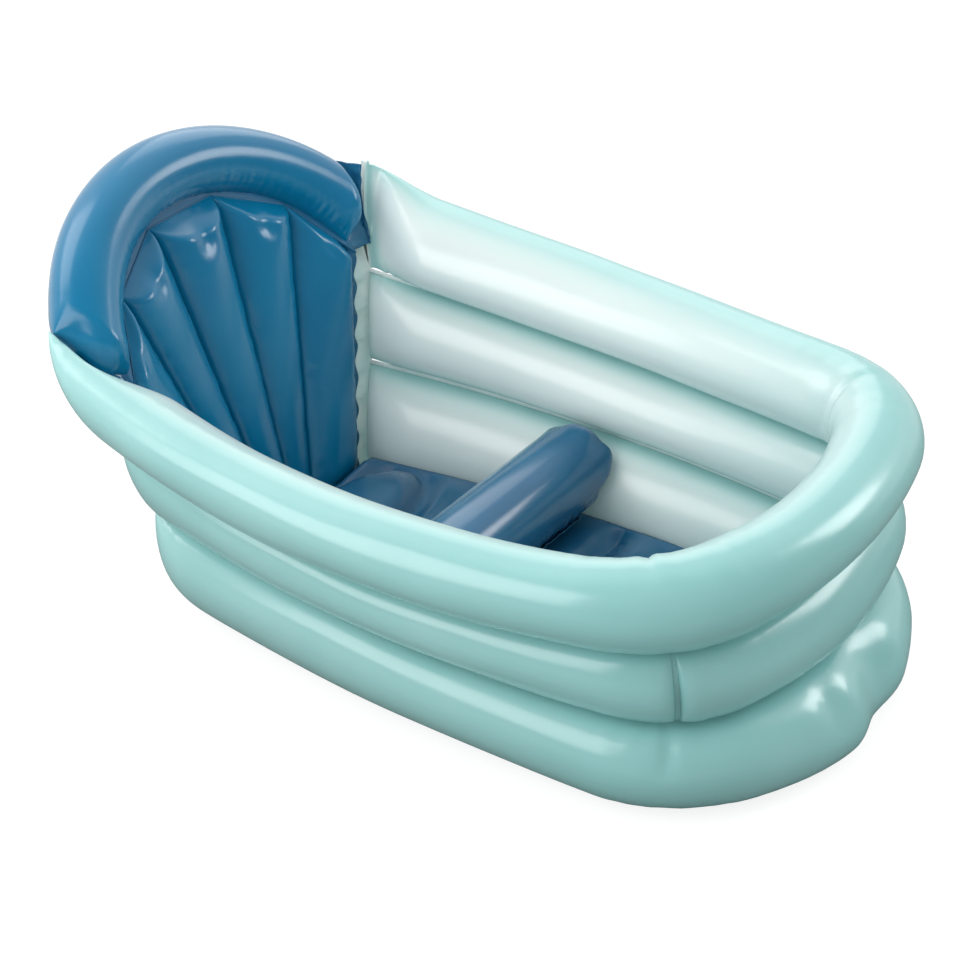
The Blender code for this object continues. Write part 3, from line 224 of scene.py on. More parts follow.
def smooth(share):
    """Ease a share in and out."""
    share = min(max(share, 0.0), 1.0)
    return share * share * (3 - 2 * share)


def near(value, middle, spread):
    """Soft hump of height 1 about a middle."""
    return math.exp(-((value - middle) / spread) ** 2)


def unevenness(x, y, z):
    """Smooth unevenness of hand-welded film, from about -1 to 1, the same on each run."""
    return noise.noise(Vector((x, y, z)))


def head_x(height):
    """X of the head surface at a height: upright below, laid back above a soft bend."""
    above = height - BEND_HEIGHT
    if above > 0:
        laid_back = above + BEND_BLEND / 2
    elif above > -BEND_BLEND:
        laid_back = (above + BEND_BLEND) ** 2 / (2 * BEND_BLEND)
    else:
        laid_back = 0
    extra = math.tan(HEADREST_LEAN) - math.tan(HEAD_LEAN)
    return HEAD_FOOT_X - height * math.tan(HEAD_LEAN) - laid_back * extra


def line_point(plan, heights, share):
    """Point on a weld line. Share 0 is the near head end, 1 the foot, 2 the far head end."""
    mirrored = share > 1
    run = 2 - share if mirrored else share
    head_y, mid_y = plan[0] * HALF_WIDTH, plan[1] * HALF_WIDTH
    corner_x, corner_y = plan[2] * HALF_LENGTH, plan[3] * HALF_WIDTH
    foot_x = plan[4] * HALF_LENGTH
    if heights is None:
        levels = (BASE_TOP, BASE_TOP, BASE_TOP)
    else:
        levels = tuple(level * WALL_HEIGHT for level in heights)
    start_x = head_x(levels[0]) + GAP

    def on_side(part):
        return Vector((start_x + (corner_x - start_x) * part,
                       through_three(head_y, mid_y, corner_y, part),
                       through_three(levels[0], levels[1], levels[2], part)))

    def on_foot(part):
        bow = 1 - (1 - part) ** 2
        return Vector((corner_x + (foot_x - corner_x) * bow, corner_y * (1 - part), levels[2]))

    if run <= SIDE_RUN:
        point = on_side(run / SIDE_RUN * CORNER_START)
    elif run <= CORNER_RUN:
        turn = (run - SIDE_RUN) / (CORNER_RUN - SIDE_RUN)
        corner = Vector((corner_x, corner_y, levels[2]))
        point = (on_side(CORNER_START) * (1 - turn) ** 2 + corner * 2 * turn * (1 - turn)
                 + on_foot(CORNER_END) * turn ** 2)
    else:
        turn = (run - CORNER_RUN) / (1 - CORNER_RUN)
        point = on_foot(CORNER_END + (1 - CORNER_END) * turn)
    if not mirrored:
        point.y = -point.y
    return point


def bottom_line(share):
    """Where the lower tube meets the base sheet."""
    return line_point(BOTTOM_LINE, None, share)


def lower_weld(share):
    """Weld between the lower and the middle tube."""
    return line_point(LOWER_WELD, LOWER_WELD_HEIGHTS, share)


def upper_weld(share):
    """Weld between the middle and the upper tube."""
    return line_point(UPPER_WELD, UPPER_WELD_HEIGHTS, share)


def rim_line(share):
    """Crest of the upper tube."""
    return line_point(RIM, RIM_HEIGHTS, share)


def outward(low_line, high_line, share):
    """Level direction square to the wall, away from the bather."""
    before = max(share - 0.012, 0)
    after = min(share + 0.012, 2)
    run = (low_line(after) + high_line(after)) - (low_line(before) + high_line(before))
    return Vector((run.y, -run.x, 0)).normalized()


def rounding(distance, reach):
    """Share of full swell at a distance from a sealed end."""
    if distance >= reach:
        return 1.0
    return math.sqrt(max(0.0, 1 - (1 - distance / reach) ** 2))


def headrest_plane(across, along, forward=0.0):
    """Point on the laid-back plane of the headrest, or in front of it."""
    sine, cosine = math.sin(HEADREST_LEAN), math.cos(HEADREST_LEAN)
    return Vector((head_x(BEND_HEIGHT) - along * sine + forward * cosine, across,
                   BEND_HEIGHT + along * cosine + forward * sine))


def panel_edge_y(height):
    """Half width of the backrest at a height."""
    return PANEL_FOOT_HALF + min(height, BEND_HEIGHT) * math.tan(PANEL_FLARE)


def seam_along(across):
    """How far up the headrest plane the seam below the head roll lies."""
    radius = ROLL_BOW - ROLL_RADIUS - SEAM_STRIP
    return math.sqrt(max(radius ** 2 - across ** 2, 0)) + ROLL_REACH - ROLL_BOW


def panel_top(share):
    """Top of the backrest, straight between rib heads, at a share from -1 to 1."""
    half = panel_edge_y(BEND_HEIGHT)
    for left, right in zip(RIB_HEADS, RIB_HEADS[1:]):
        if share <= right:
            part = (share - left) / (right - left)
            start = seam_along(left * half)
            return start + (seam_along(right * half) - start) * part
    return seam_along(half)


# Mesh helpers


def finished_mesh(name, model):
    """Smooth mesh of a bmesh model, which is freed."""
    for face in model.faces:
        face.smooth = True
    mesh = bpy.data.meshes.new(name)
    model.to_mesh(mesh)
    model.free()
    return mesh


def link_object(name, data):
    """New object in the scene."""
    item = bpy.data.objects.new(name, data)
    bpy.context.scene.collection.objects.link(item)
    return item


def skin(name, rows, closed=True, lengths=None, painted_light_rows=None):
    """Mesh over rows of points, with a UV map in metres along and around, and the painted light of each row's film.
    """
    model = bmesh.new()
    uv_map = model.loops.layers.uv.new("film")
    # Painted light: how far each point's film is painted towards the near-white colour
    paleness = model.verts.layers.float.new("paleness")
    grid = [[model.verts.new(point) for point in row] for row in rows]
    for verts, shades in zip(grid, painted_light_rows or ()):
        for vert, shade in zip(verts, shades):
            vert[paleness] = shade
    around = len(rows[0])
    spans = around if closed else around - 1
    along = lengths or [0.0]
    if not lengths:
        for row, following in zip(rows, rows[1:]):
            along.append(along[-1] + (following[0] - row[0]).length)
    across = [0.0]
    middle = rows[len(rows) // 2]
    for index in range(spans):
        across.append(across[-1] + (middle[(index + 1) % around] - middle[index]).length)
    for row in range(len(rows) - 1):
        for index in range(spans):
            other = (index + 1) % around
            face = model.faces.new((grid[row][index], grid[row][other],
                                    grid[row + 1][other], grid[row + 1][index]))
            corners = ((row, index), (row, index + 1), (row + 1, index + 1), (row + 1, index))
            for loop, (here, side) in zip(face.loops, corners):
                loop[uv_map].uv = (along[here], across[side])
    if closed:
        model.faces.new(grid[0])
        model.faces.new(list(reversed(grid[-1])))
    bmesh.ops.recalc_face_normals(model, faces=model.faces)
    return finished_mesh(name, model)


def place_piece(name, mesh, key, replaces, slot, body="tub", fill=None):
    """Link a finished mesh as a piece of one material that rides on a body."""
    piece = link_object(name, mesh)
    mesh.materials.clear()
    mesh.materials.append(get_material(key))
    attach(piece, body)
    if replaces:
        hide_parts(*replaces)


def evaluated_mesh(name, mesh, kind, finish):
    """Plain mesh that one modifier makes of a mesh, once a function has set the modifier."""
    helper = link_object(name + "_helper", mesh)
    finish(helper.modifiers.new(kind.lower(), kind))
    bpy.context.view_layer.update()
    finished = bpy.data.meshes.new_from_object(helper.evaluated_get(bpy.context.evaluated_depsgraph_get()))
    finished.name = name
    bpy.data.objects.remove(helper, do_unlink=True)
    return finished


def film_sheet(name, rows):
    """Open sheet over rows of points, given the thickness of welded film."""
    def thicken(solid):
        solid.thickness = SHEET
        solid.offset = 0

    return evaluated_mesh(name, skin(name + "_sheet", rows, closed=False), "SOLIDIFY", thicken)


def lower_of(first, second, blend):
    """Lesser of two values, with the corner between them rounded over a length."""
    gap = max(blend - abs(first - second), 0) / blend
    return min(first, second) - gap * gap * blend / 4


def turned(name, profile, steps=64):
    """Closed turned mesh of (radius, height) pairs about Z, rounded by short bevels."""
    model = bmesh.new()
    points = [model.verts.new((radius, 0, height)) for radius, height in profile]
    edges = [model.edges.new(pair) for pair in zip(points, points[1:])]
    bmesh.ops.spin(model, geom=points + edges, cent=(0, 0, 0), axis=(0, 0, 1),
                   angle=2 * math.pi, steps=steps, use_duplicate=False)
    bmesh.ops.remove_doubles(model, verts=model.verts, dist=0.00002)
    bmesh.ops.recalc_face_normals(model, faces=model.faces)
    sharp = [edge for edge in model.edges if len(edge.link_faces) == 2
             and edge.calc_face_angle(0) > math.radians(35)]
    bmesh.ops.bevel(model, geom=sharp, offset=0.00025, segments=2, profile=0.5, affect="EDGES")
    return finished_mesh(name, model)


def seated(point):
    """Point of the film, pressed to the flat seat of a valve or the drain where it is close to one."""
    for place, axis, flat, reach in SEATS:
        offset = point - place
        height = offset.dot(axis)
        beside = (offset - axis * height).length
        if beside < reach and abs(height) < 0.03:
            point = point - axis * (height + 0.0002) * (1 - smooth((beside - flat) / (reach - flat)))
    return point


def stand(mesh, place, axis):
    """Turn a mesh from its own Z axis to a direction and move it to its place."""
    turn = Vector((0, 0, 1)).rotation_difference(Vector(axis)).to_matrix().to_4x4()
    turn.translation = Vector(place)
    mesh.transform(turn)
    return mesh


# Materials


def linear(hex_colour, alpha=1.0):
    """Linear colour of an sRGB hex value."""
    channels = [int(hex_colour[index:index + 2], 16) / 255 for index in (0, 2, 4)]
    return tuple(c / 12.92 if c <= 0.04045 else ((c + 0.055) / 1.055) ** 2.4 for c in channels) + (alpha,)


def fill_inputs(tree, node, inputs):
    """Give a node's inputs values or links."""
    for name, value in inputs.items():
        if isinstance(value, bpy.types.NodeSocket):
            tree.links.new(value, node.inputs[name])
        else:
            node.inputs[name].default_value = value


def add_node(tree, kind, inputs=None, **settings):
    """Add a node with its settings, and give its inputs values or links."""
    node = tree.nodes.new(kind)
    for name, value in settings.items():
        setattr(node, name, value)
    fill_inputs(tree, node, inputs or {})
    return node


def new_material(name):
    """Empty material, its node tree and shader, and object coordinates for its patterns."""
    material = bpy.data.materials.new(name)
    material.use_nodes = True
    tree = material.node_tree
    return material, tree, tree.nodes["Principled BSDF"], add_node(tree, "ShaderNodeTexCoord").outputs["Object"]


def film_material(name, film, deep, roughness, coat, crease, through=0.0, gloss_level=0.5):
    """Welded PVC film: calendered smooth, glossy, with faint stretch marks and cloudy colour.

    The mint film is milky: light passes through its skin and softens the shade between the tubes.
    """
    material, tree, shader, place = new_material(name)
    # Cloudy tone, about 120 mm across, where the film stretches and thins
    cloud = add_node(tree, "ShaderNodeTexNoise",
                     {"Vector": place, "Scale": 1 / 0.12, "Detail": 2.0, "Roughness": 0.5})
    tone = add_node(tree, "ShaderNodeMapRange",
                    {"Value": cloud.outputs["Fac"], "From Min": 0.3, "From Max": 0.7, "To Max": 0.55})
    colour = add_node(tree, "ShaderNodeMix",
                      {"Factor": tone.outputs["Result"], "A": linear(film), "B": linear(deep)}, data_type="RGBA")
    if through:
        # Painted light: the film is painted towards a near-white colour wherever the mesh carries painted light, on
        # the tub's inside and as painted sheen outside at the head end
        inner = add_node(tree, "ShaderNodeAttribute", attribute_name="paleness")
        colour = add_node(tree, "ShaderNodeMix",
                          {"Factor": inner.outputs["Fac"], "A": colour.outputs["Result"],
                           "B": linear(bpy.context.scene.bathtub_wall.inner_film)}, data_type="RGBA")
    # Handling marks, about 9 mm across, drawn coarser than real ones so that they show
    marks = add_node(tree, "ShaderNodeTexNoise",
                     {"Vector": place, "Scale": 1 / 0.009, "Detail": 3.0, "Roughness": 0.55})
    gloss = add_node(tree, "ShaderNodeMapRange",
                     {"Value": marks.outputs["Fac"], "From Min": 0.25, "From Max": 0.75,
                      "To Min": roughness - 0.015, "To Max": roughness + 0.02})
    # Slack of the film between its welds: soft 35 mm swells and 5 mm crimps
    slack = add_node(tree, "ShaderNodeTexNoise",
                     {"Vector": place, "Scale": 1 / 0.035, "Detail": 1.0, "Roughness": 0.4})
    crimp = add_node(tree, "ShaderNodeTexNoise",
                     {"Vector": place, "Scale": 1 / 0.005, "Detail": 2.0, "Roughness": 0.5})
    swell = add_node(tree, "ShaderNodeBump", {"Strength": crease, "Distance": 0.0012, "Height": slack.outputs["Fac"]})
    fine = add_node(tree, "ShaderNodeBump",
                    {"Strength": crease * 0.15, "Distance": 0.0002, "Height": crimp.outputs["Fac"],
                     "Normal": swell.outputs["Normal"]})
    fill_inputs(tree, shader, {
        "Base Color": colour.outputs["Result"], "Roughness": gloss.outputs["Result"],
        "Normal": fine.outputs["Normal"], "IOR": PVC_IOR, "Specular IOR Level": gloss_level,
        "Coat Weight": coat, "Coat Roughness": 0.16})
    if through:
        milk = add_node(tree, "ShaderNodeBsdfTranslucent", {"Color": colour.outputs["Result"]})
        both = add_node(tree, "ShaderNodeMixShader",
                        {"Fac": through, 1: shader.outputs["BSDF"], 2: milk.outputs["BSDF"]})
        tree.links.new(both.outputs["Shader"], tree.nodes["Material Output"].inputs["Surface"])
    return material


def weld_material(name, film, roughness):
    """Heat-welded film: two layers pressed flat, finely embossed by the welding bar."""
    material, tree, shader, place = new_material(name)
    # Emboss of the bar: 1.6 mm hatch across the weld
    hatch = add_node(tree, "ShaderNodeTexWave",
                     {"Vector": place, "Scale": 1 / 0.0016 / 20, "Distortion": 0.6, "Detail": 1.0},
                     wave_type="BANDS", bands_direction="DIAGONAL")
    # Uneven pressure of the bar, about 30 mm across, darkens the film
    press = add_node(tree, "ShaderNodeTexNoise", {"Vector": place, "Scale": 1 / 0.03, "Detail": 2.0})
    dark = [channel * 0.82 for channel in linear(film)[:3]] + [1.0]
    colour = add_node(tree, "ShaderNodeMix",
                      {"Factor": press.outputs["Fac"], "A": linear(film), "B": dark}, data_type="RGBA")
    bump = add_node(tree, "ShaderNodeBump", {"Strength": 0.25, "Distance": 0.0002, "Height": hatch.outputs["Fac"]})
    fill_inputs(tree, shader, {
        "Base Color": colour.outputs["Result"], "Normal": bump.outputs["Normal"], "Roughness": roughness,
        "IOR": PVC_IOR, "Coat Weight": 0.2, "Coat Roughness": 0.15})
    return material


def moulded_material(name):
    """Milky clear soft PVC, injection moulded: waxy gloss, light passes through it."""
    material, tree, shader, place = new_material(name)
    # Haze of the moulding, about 6 mm across
    haze = add_node(tree, "ShaderNodeTexNoise", {"Vector": place, "Scale": 1 / 0.006, "Detail": 2.0})
    colour = add_node(tree, "ShaderNodeMix",
                      {"Factor": haze.outputs["Fac"], "A": linear("E9F1F1"), "B": linear("D3E2E3")}, data_type="RGBA")
    bump = add_node(tree, "ShaderNodeBump", {"Strength": 0.1, "Distance": 0.0002, "Height": haze.outputs["Fac"]})
    fill_inputs(tree, shader, {
        "Base Color": colour.outputs["Result"], "Normal": bump.outputs["Normal"], "Roughness": 0.28,
        "IOR": PVC_IOR, "Subsurface Weight": 0.5, "Subsurface Scale": 0.004})
    return material


def get_material(key):
    """Make each material once and reuse it."""
    made = bpy.data.materials.get(key)
    if made:
        return made
    scene = bpy.context.scene
    wall, head, floor = scene.bathtub_wall, scene.bathtub_head, scene.bathtub_floor
    films = {
        "mint_pvc_film": (wall.film, wall.deep_film, 0.25, 0.30, 0.10, 0.20, 0.9),
        # Painted light: the head-end flanges are painted in the near-white colour, mixed with the mint film
        "mint_pvc_flange": (wall.inner_film, wall.film, 0.30, 0.10, 0.70, 0.30),
        "blue_pvc_film": (head.film, head.deep_film, 0.23, 0.25, 0.05),
        "blue_pvc_crinkle": (floor.film, head.deep_film, 0.20, 0.20, 1.0),
        "navy_pvc_film": (floor.film, floor.deep_film, 0.20, 0.30, 0.10),
    }
    # Painted highlight: the mint welds take the near-white painted light colour, as a lit line along each weld
    welds = {"mint_pvc_weld": (wall.inner_film, 0.36), "blue_pvc_weld": (head.deep_film, 0.50)}
    if key in films:
        return film_material(key, *films[key])
    return weld_material(key, *welds[key]) if key in welds else moulded_material(key)


# Weld strips, made by Geometry Nodes along a path


def new_tree(name, sockets):
    """Node tree with its named inputs besides geometry and material, and the outputs of its inlet."""
    tree = bpy.data.node_groups.new(name, "GeometryNodeTree")
    for label, kind in (("Geometry", "Geometry"), *sockets, ("Material", "Material")):
        tree.interface.new_socket(label, in_out="INPUT", socket_type="NodeSocket" + kind)
    tree.interface.new_socket("Geometry", in_out="OUTPUT", socket_type="NodeSocketGeometry")
    return tree, add_node(tree, "NodeGroupInput").outputs


def finish_tree(tree, inlet, *parts):
    """Join the parts of a tree, make them real and give them the material."""
    both = add_node(tree, "GeometryNodeJoinGeometry")
    for part in parts:
        tree.links.new(part, both.inputs["Geometry"])
    real = add_node(tree, "GeometryNodeRealizeInstances", {"Geometry": both.outputs["Geometry"]})
    coloured = add_node(tree, "GeometryNodeSetMaterial",
                        {"Geometry": real.outputs["Geometry"], "Material": inlet["Material"]})
    add_node(tree, "NodeGroupOutput", {"Geometry": coloured.outputs["Geometry"]})
    return tree


def weld_strip_tree():
    """Node tree: a flat strip along a path, with small pressed ridges across it."""
    tree, inlet = new_tree("weld_strip", [(label, "Float") for label in
                                          ("Width", "Thickness", "Ridge Pitch", "Ridge Height")])
    path = add_node(tree, "GeometryNodeMeshToCurve", {"Mesh": inlet["Geometry"]})
    level = add_node(tree, "GeometryNodeSetCurveNormal", {"Curve": path.outputs["Curve"]}, mode="Z_UP")
    profile = add_node(tree, "GeometryNodeCurvePrimitiveQuadrilateral",
                       {"Width": inlet["Thickness"], "Height": inlet["Width"]})
    strip = add_node(tree, "GeometryNodeCurveToMesh",
                     {"Curve": level.outputs["Curve"], "Profile Curve": profile.outputs["Curve"], "Fill Caps": True})
    spots = add_node(tree, "GeometryNodeCurveToPoints",
                     {"Curve": level.outputs["Curve"], "Length": inlet["Ridge Pitch"]}, mode="LENGTH")
    # A ridge stands proud on both sides and covers 72 % of the width and 40 % of its pitch
    double = add_node(tree, "ShaderNodeMath", {0: inlet["Ridge Height"], 1: 2.0}, operation="MULTIPLY")
    proud = add_node(tree, "ShaderNodeMath", {0: inlet["Thickness"], 1: double.outputs[0]}, operation="ADD")
    tall = add_node(tree, "ShaderNodeMath", {0: inlet["Width"], 1: 0.72}, operation="MULTIPLY")
    thin = add_node(tree, "ShaderNodeMath", {0: inlet["Ridge Pitch"], 1: 0.4}, operation="MULTIPLY")
    size = add_node(tree, "ShaderNodeCombineXYZ",
                    {"X": proud.outputs[0], "Y": tall.outputs[0], "Z": thin.outputs[0]})
    ridge = add_node(tree, "GeometryNodeMeshCube", {"Size": size.outputs["Vector"]})
    ridges = add_node(tree, "GeometryNodeInstanceOnPoints",
                      {"Points": spots.outputs["Points"], "Instance": ridge.outputs["Mesh"],
                       "Rotation": spots.outputs["Rotation"]})
    return finish_tree(tree, inlet, strip.outputs["Mesh"], ridges.outputs["Instances"])


def grip_tree():
    """Node tree: a round body with small grip ridges spread round its rim."""
    tree, inlet = new_tree("grip_ring", (("Ridges", "Int"), ("Radius", "Float"), ("Height", "Float"),
                                         ("Ridge Size", "Vector")))
    ring = add_node(tree, "GeometryNodeMeshCircle", {"Vertices": inlet["Ridges"], "Radius": inlet["Radius"]})
    spot = add_node(tree, "GeometryNodeInputPosition")
    facing = add_node(tree, "FunctionNodeAlignEulerToVector", {"Vector": spot.outputs["Position"]}, axis="X")
    ridge = add_node(tree, "GeometryNodeMeshCube", {"Size": inlet["Ridge Size"]})
    ridges = add_node(tree, "GeometryNodeInstanceOnPoints",
                      {"Points": ring.outputs["Mesh"], "Instance": ridge.outputs["Mesh"],
                       "Rotation": facing.outputs["Rotation"]})
    rise = add_node(tree, "ShaderNodeCombineXYZ", {"Z": inlet["Height"]})
    lifted = add_node(tree, "GeometryNodeTransform",
                      {"Geometry": ridges.outputs["Instances"], "Translation": rise.outputs["Vector"]})
    return finish_tree(tree, inlet, inlet["Geometry"], lifted.outputs["Geometry"])


def grown_mesh(mesh, tree, key, values):
    """Plain mesh that a node tree makes of a mesh, with its inputs set by name."""
    values["Material"] = get_material(key)

    def set_inputs(modifier):
        modifier.node_group = tree
        for item in tree.interface.items_tree:
            if item.in_out == "INPUT" and item.name in values:
                modifier[item.identifier] = values[item.name]

    return evaluated_mesh(mesh.name, mesh, "NODES", set_inputs)


def weld_strip(name, points, width, thickness, pitch, ridge, key):
    """Plain mesh of one weld strip along a row of points."""
    mesh = bpy.data.meshes.new(name)
    mesh.from_pydata(points, [(index, index + 1) for index in range(len(points) - 1)], [])
    tree = bpy.data.node_groups.get("weld_strip") or weld_strip_tree()
    return grown_mesh(mesh, tree, key, {"Width": width, "Thickness": thickness, "Ridge Pitch": pitch,
                                        "Ridge Height": ridge})


def gripped(mesh, ridges, radius, height, size, key):
    """Round body with grip ridges round its rim."""
    tree = bpy.data.node_groups.get("grip_ring") or grip_tree()
    return grown_mesh(mesh, tree, key, {"Ridges": ridges, "Radius": radius, "Height": height, "Ridge Size": size})


# Wall


def end_press(distance, angle):
    """How full the bather's side of the upper tube is near its end seal, leaning back from weld to rim."""
    seal = 0.029 + 0.029 * math.sin(angle)
    return 0.03 + 0.97 * smooth((distance - seal) / 0.085) ** 0.65


def upright(x):
    """X near the far end seal, eased so that the seal stands upright where the head surface lies back."""
    front = FAR_END_X + 0.030
    return x if x > front else front - 0.034 * (1 - math.exp((x - front) / 0.034))


def tube_rows(low_line, low_band, high_line, high_band, swell, first, last, stations, sides, ends, relief):
    """Rings of one air tube between two weld lines, with gathers beside the welds, and the painted light of each
    point.
    """
    wall = bpy.context.scene.bathtub_wall
    shares = [first + (last - first) * index / stations for index in range(stations + 1)]
    total = sum((high_line(b) - high_line(a)).length for a, b in zip(shares, shares[1:]))
    # Closer rings where a tube rounds to its ends, and millimetre rings at the upper tube's far seal
    for reach_share in (0.01, 0.03, 0.07, 0.14, 0.26):
        step = wall.end_rounding * reach_share / total * (last - first)
        shares += [first + step, last - step]
    if high_line is rim_line:
        shares += [last - 0.045 * step / 45 / total * (last - first) for step in range(1, 45)]
    shares.sort()
    rows, shades = [], []
    lengths = [0.0]
    previous = None
    for share in shares:
        part = (share - first) / (last - first)
        low, high = low_line(share), high_line(share)
        if previous is not None:
            lengths.append(lengths[-1] + (high - previous).length)
        previous = high.copy()
        rise = (high - low).normalized()
        low = low + rise * low_band
        high = high - rise * high_band
        centre = (low + high) / 2
        half = (high - low).length / 2
        away = outward(low_line, high_line, share)
        start = rounding(part * total, ends[0][0])
        end = rounding((1 - part) * total, ends[1][0])
        swell_share = min(ends[0][1] + (1 - ends[0][1]) * start, ends[1][1] + (1 - ends[1][1]) * end)
        # The upper tube is pressed to a flat seal that stands upright over its last 120 mm
        pressed = high_line is rim_line
        stand = smooth((0.120 - (1 - part) * total) / 0.062) if pressed else 0.0
        row, shade = [], []
        # Painted light: the inner skin is painted paler, palest at the head end where the inside is most brightly
        # lit, and a thin painted sheen lies on the outside there
        run = min(share, 2 - share)
        clear = 1 - 0.4 * smooth((run - 0.30) / 0.5)
        painted_sheen = 0.08 * (1 - smooth((run - 0.45) / 0.35))
        for side in range(sides):
            angle = 2 * math.pi * side / sides
            tint = max(clear * smooth(0.12 - 0.95 * math.cos(angle)), painted_sheen)
            # At the far seal the film is painted palest past the bead, as painted light, and darker just before it,
            # as painted shade that sets the bead off
            if pressed and share > 1.5:
                past = (1 - part) * total - seal_line(angle)
                tint = max(tint * (1 - 0.8 * near(past, 0.008, 0.012)), smooth((0.0025 - past) / 0.003))
            shade.append(tint)
            push = relief(share, angle, part * total, total)
            full = swell_share
            if pressed and math.cos(angle) < 0:
                full = min(full, end_press(min(part, 1 - part) * total, angle))
            elif pressed:
                full *= 1 - 0.5 * stand
            across = away * math.cos(angle) * (swell * full)
            up = rise * math.sin(angle) * half
            if math.sin(angle) > 0:
                up += rise * math.sin(angle) * wall.flange_rise * stand
            normal = away * math.cos(angle) * half + rise * math.sin(angle) * swell
            point = centre + across + up + normal.normalized() * push * min(1, swell_share * 1.4)
            point.z = max(point.z, BASE_TOP)
            if pressed and share > 1.5:
                point.x = upright(point.x)
            row.append(seated(point))
        rows.append(row)
        shades.append(shade)
    return rows, lengths, shades


def gathers(share, angle, distance, seed):
    """Small gathers beside the two welds, deeper where the wall bends and where it ends."""
    wall = bpy.context.scene.bathtub_wall
    run = min(share, 2 - share)
    bend = smooth(1 - abs(run - CORNER_SEAM) / 0.13)
    ends = smooth(1 - run / 0.10)
    depth = wall.pucker * (0.25 + 1.6 * bend + 2.2 * ends)
    near_weld = max(abs(math.sin(angle)) - 0.55, 0) / 0.45
    side = 0.5 if math.sin(angle) > 0 else 3.5
    crimp = unevenness(distance / wall.pucker_pitch * 1.7, side, seed)
    broad = unevenness(distance / 0.14, math.cos(angle) * 0.9, math.sin(angle) * 0.9 + seed)
    return depth * crimp * near_weld ** 1.5 + broad * 0.0016


def corner_fold(share, angle):
    """Mitre fold across the upper tube where it turns a foot corner: a groove between two lips."""
    run = min(share, 2 - share)
    reach = abs(run - CORNER_SEAM)
    inner = smooth((-math.cos(angle) + 0.75) / 1.2)
    return -0.0028 * near(reach, 0, 0.0040) * inner + 0.0008 * near(reach, 0.012, 0.008) * inner


def seal_line(angle):
    """Distance from the far end to the bead of the end seal, which runs from the weld up to the rim."""
    return 0.002 + 0.0108 * (1 + math.sin(angle))


def upper_relief(share, angle, distance, total):
    """Relief of the upper tube."""
    bead = 0.0032 * near(total - distance, seal_line(angle), 0.0020) * (math.cos(angle) < 0.3)
    return gathers(share, angle, distance, 1.3) + corner_fold(share, angle) + bead


def middle_relief(share, angle, distance, total):
    """Relief of a length of the middle tube."""
    return gathers(share, angle, distance, 7.7)


def lower_relief(share, angle, distance, total):
    """Relief of the lower tube, with a hooked fold under each corner seam and a soft dent at the foot."""
    hook = near(min(share, 2 - share), CORNER_SEAM - 0.006, 0.006) * smooth((math.sin(angle) - 0.1) / 0.6)
    crease = near(share, FOOT_DENT - 0.10, 0.018) * near(angle, 0.55, 0.5) * 0.004
    dent = smooth(1 - abs(share - FOOT_DENT) / 0.070) * 0.30 * bpy.context.scene.bathtub_wall.lower_swell
    return (gathers(share, angle, distance, 4.1) - hook * 0.0045 * smooth(math.cos(angle) + 0.2) - crease
            - dent * max(math.cos(angle), 0))


class BATHTUB_OT_wall(bpy.types.Operator):
    """Build the three stacked air tubes of the wall and their corner seams"""

    bl_idname = "bathtub.wall"
    bl_label = "Wall tubes"

    def execute(self, context):
        wall = context.scene.bathtub_wall
        band = wall.weld_width / 2
        # Ends of a tube: length over which it narrows, and the share of full swell at the very end
        blunt, fold, open_end = (wall.end_rounding, 0.10), (0.013, 0.70), (0.002, 1)
        seam, half = CORNER_SEAM, 0.0024
        upper = (upper_weld, band, rim_line, 0, wall.upper_swell)
        middle = (lower_weld, band, upper_weld, band, wall.middle_swell)
        lower = (bottom_line, 0, lower_weld, band, wall.lower_swell)
        pinched = middle[:4] + (wall.middle_swell * 0.66,)
        film, weld = ("mint_film", "tub", 1.0), ("mint_weld_film",)
        for name, lines, run, counts, ends, relief, node, told in (
                ("upper_tube", upper, (0, 2), (380, 56), (blunt, blunt), upper_relief, "upper_wall_tube", film),
                ("middle_tube_near", middle, (0, seam - half), (150, 40), (blunt, fold), middle_relief,
                 "middle_wall_tube_near", film),
                ("middle_tube_foot", middle, (seam + half, 2 - seam - half), (110, 40), (fold, fold), middle_relief,
                 "middle_wall_tube_foot", film),
                ("middle_tube_far", middle, (2 - seam + half, 2), (150, 40), (fold, blunt), middle_relief,
                 "middle_wall_tube_far", film),
                ("lower_tube", lower, (0, 2), (380, 52), (blunt, blunt), lower_relief, "lower_wall_tube", film),
                ("corner_fold_near", pinched, (seam - half, seam + half), (6, 40), (open_end, open_end),
                 middle_relief, "corner_seam_near", weld),
                ("corner_fold_far", pinched, (2 - seam - half, 2 - seam + half), (6, 40), (open_end, open_end),
                 middle_relief, "corner_seam_far", weld)):
            rows, lengths, shades = tube_rows(*lines, *run, *counts, ends, relief)
            place_piece(name, skin(name, rows, lengths=lengths, painted_light_rows=shades), "mint_pvc_film", (node,), *told)
        return {"FINISHED"}


class BATHTUB_OT_welds(bpy.types.Operator):
    """Build the flat welds between the tubes"""

    bl_idname = "bathtub.welds"
    bl_label = "Wall welds"

    def execute(self, context):
        width = context.scene.bathtub_wall.weld_width * 0.86
        for name, line, beside, node in (
                ("lower_weld_strip", lower_weld, (bottom_line, lower_weld), "lower_weld_band"),
                ("upper_weld_strip", upper_weld, (lower_weld, upper_weld), "upper_weld_band")):
            shares = [2 * index / 300 for index in range(301)]
            # The strip lies a little towards the bather, deep in the groove between the tubes
            points = [line(share) - outward(*beside, share) * 0.0030 for share in shares]
            mesh = weld_strip(name, points, width, FILM, 0.0030, 0.00025, "mint_pvc_weld")
            place_piece(name, mesh, "mint_pvc_weld", (node,), "mint_weld_film")
        return {"FINISHED"}


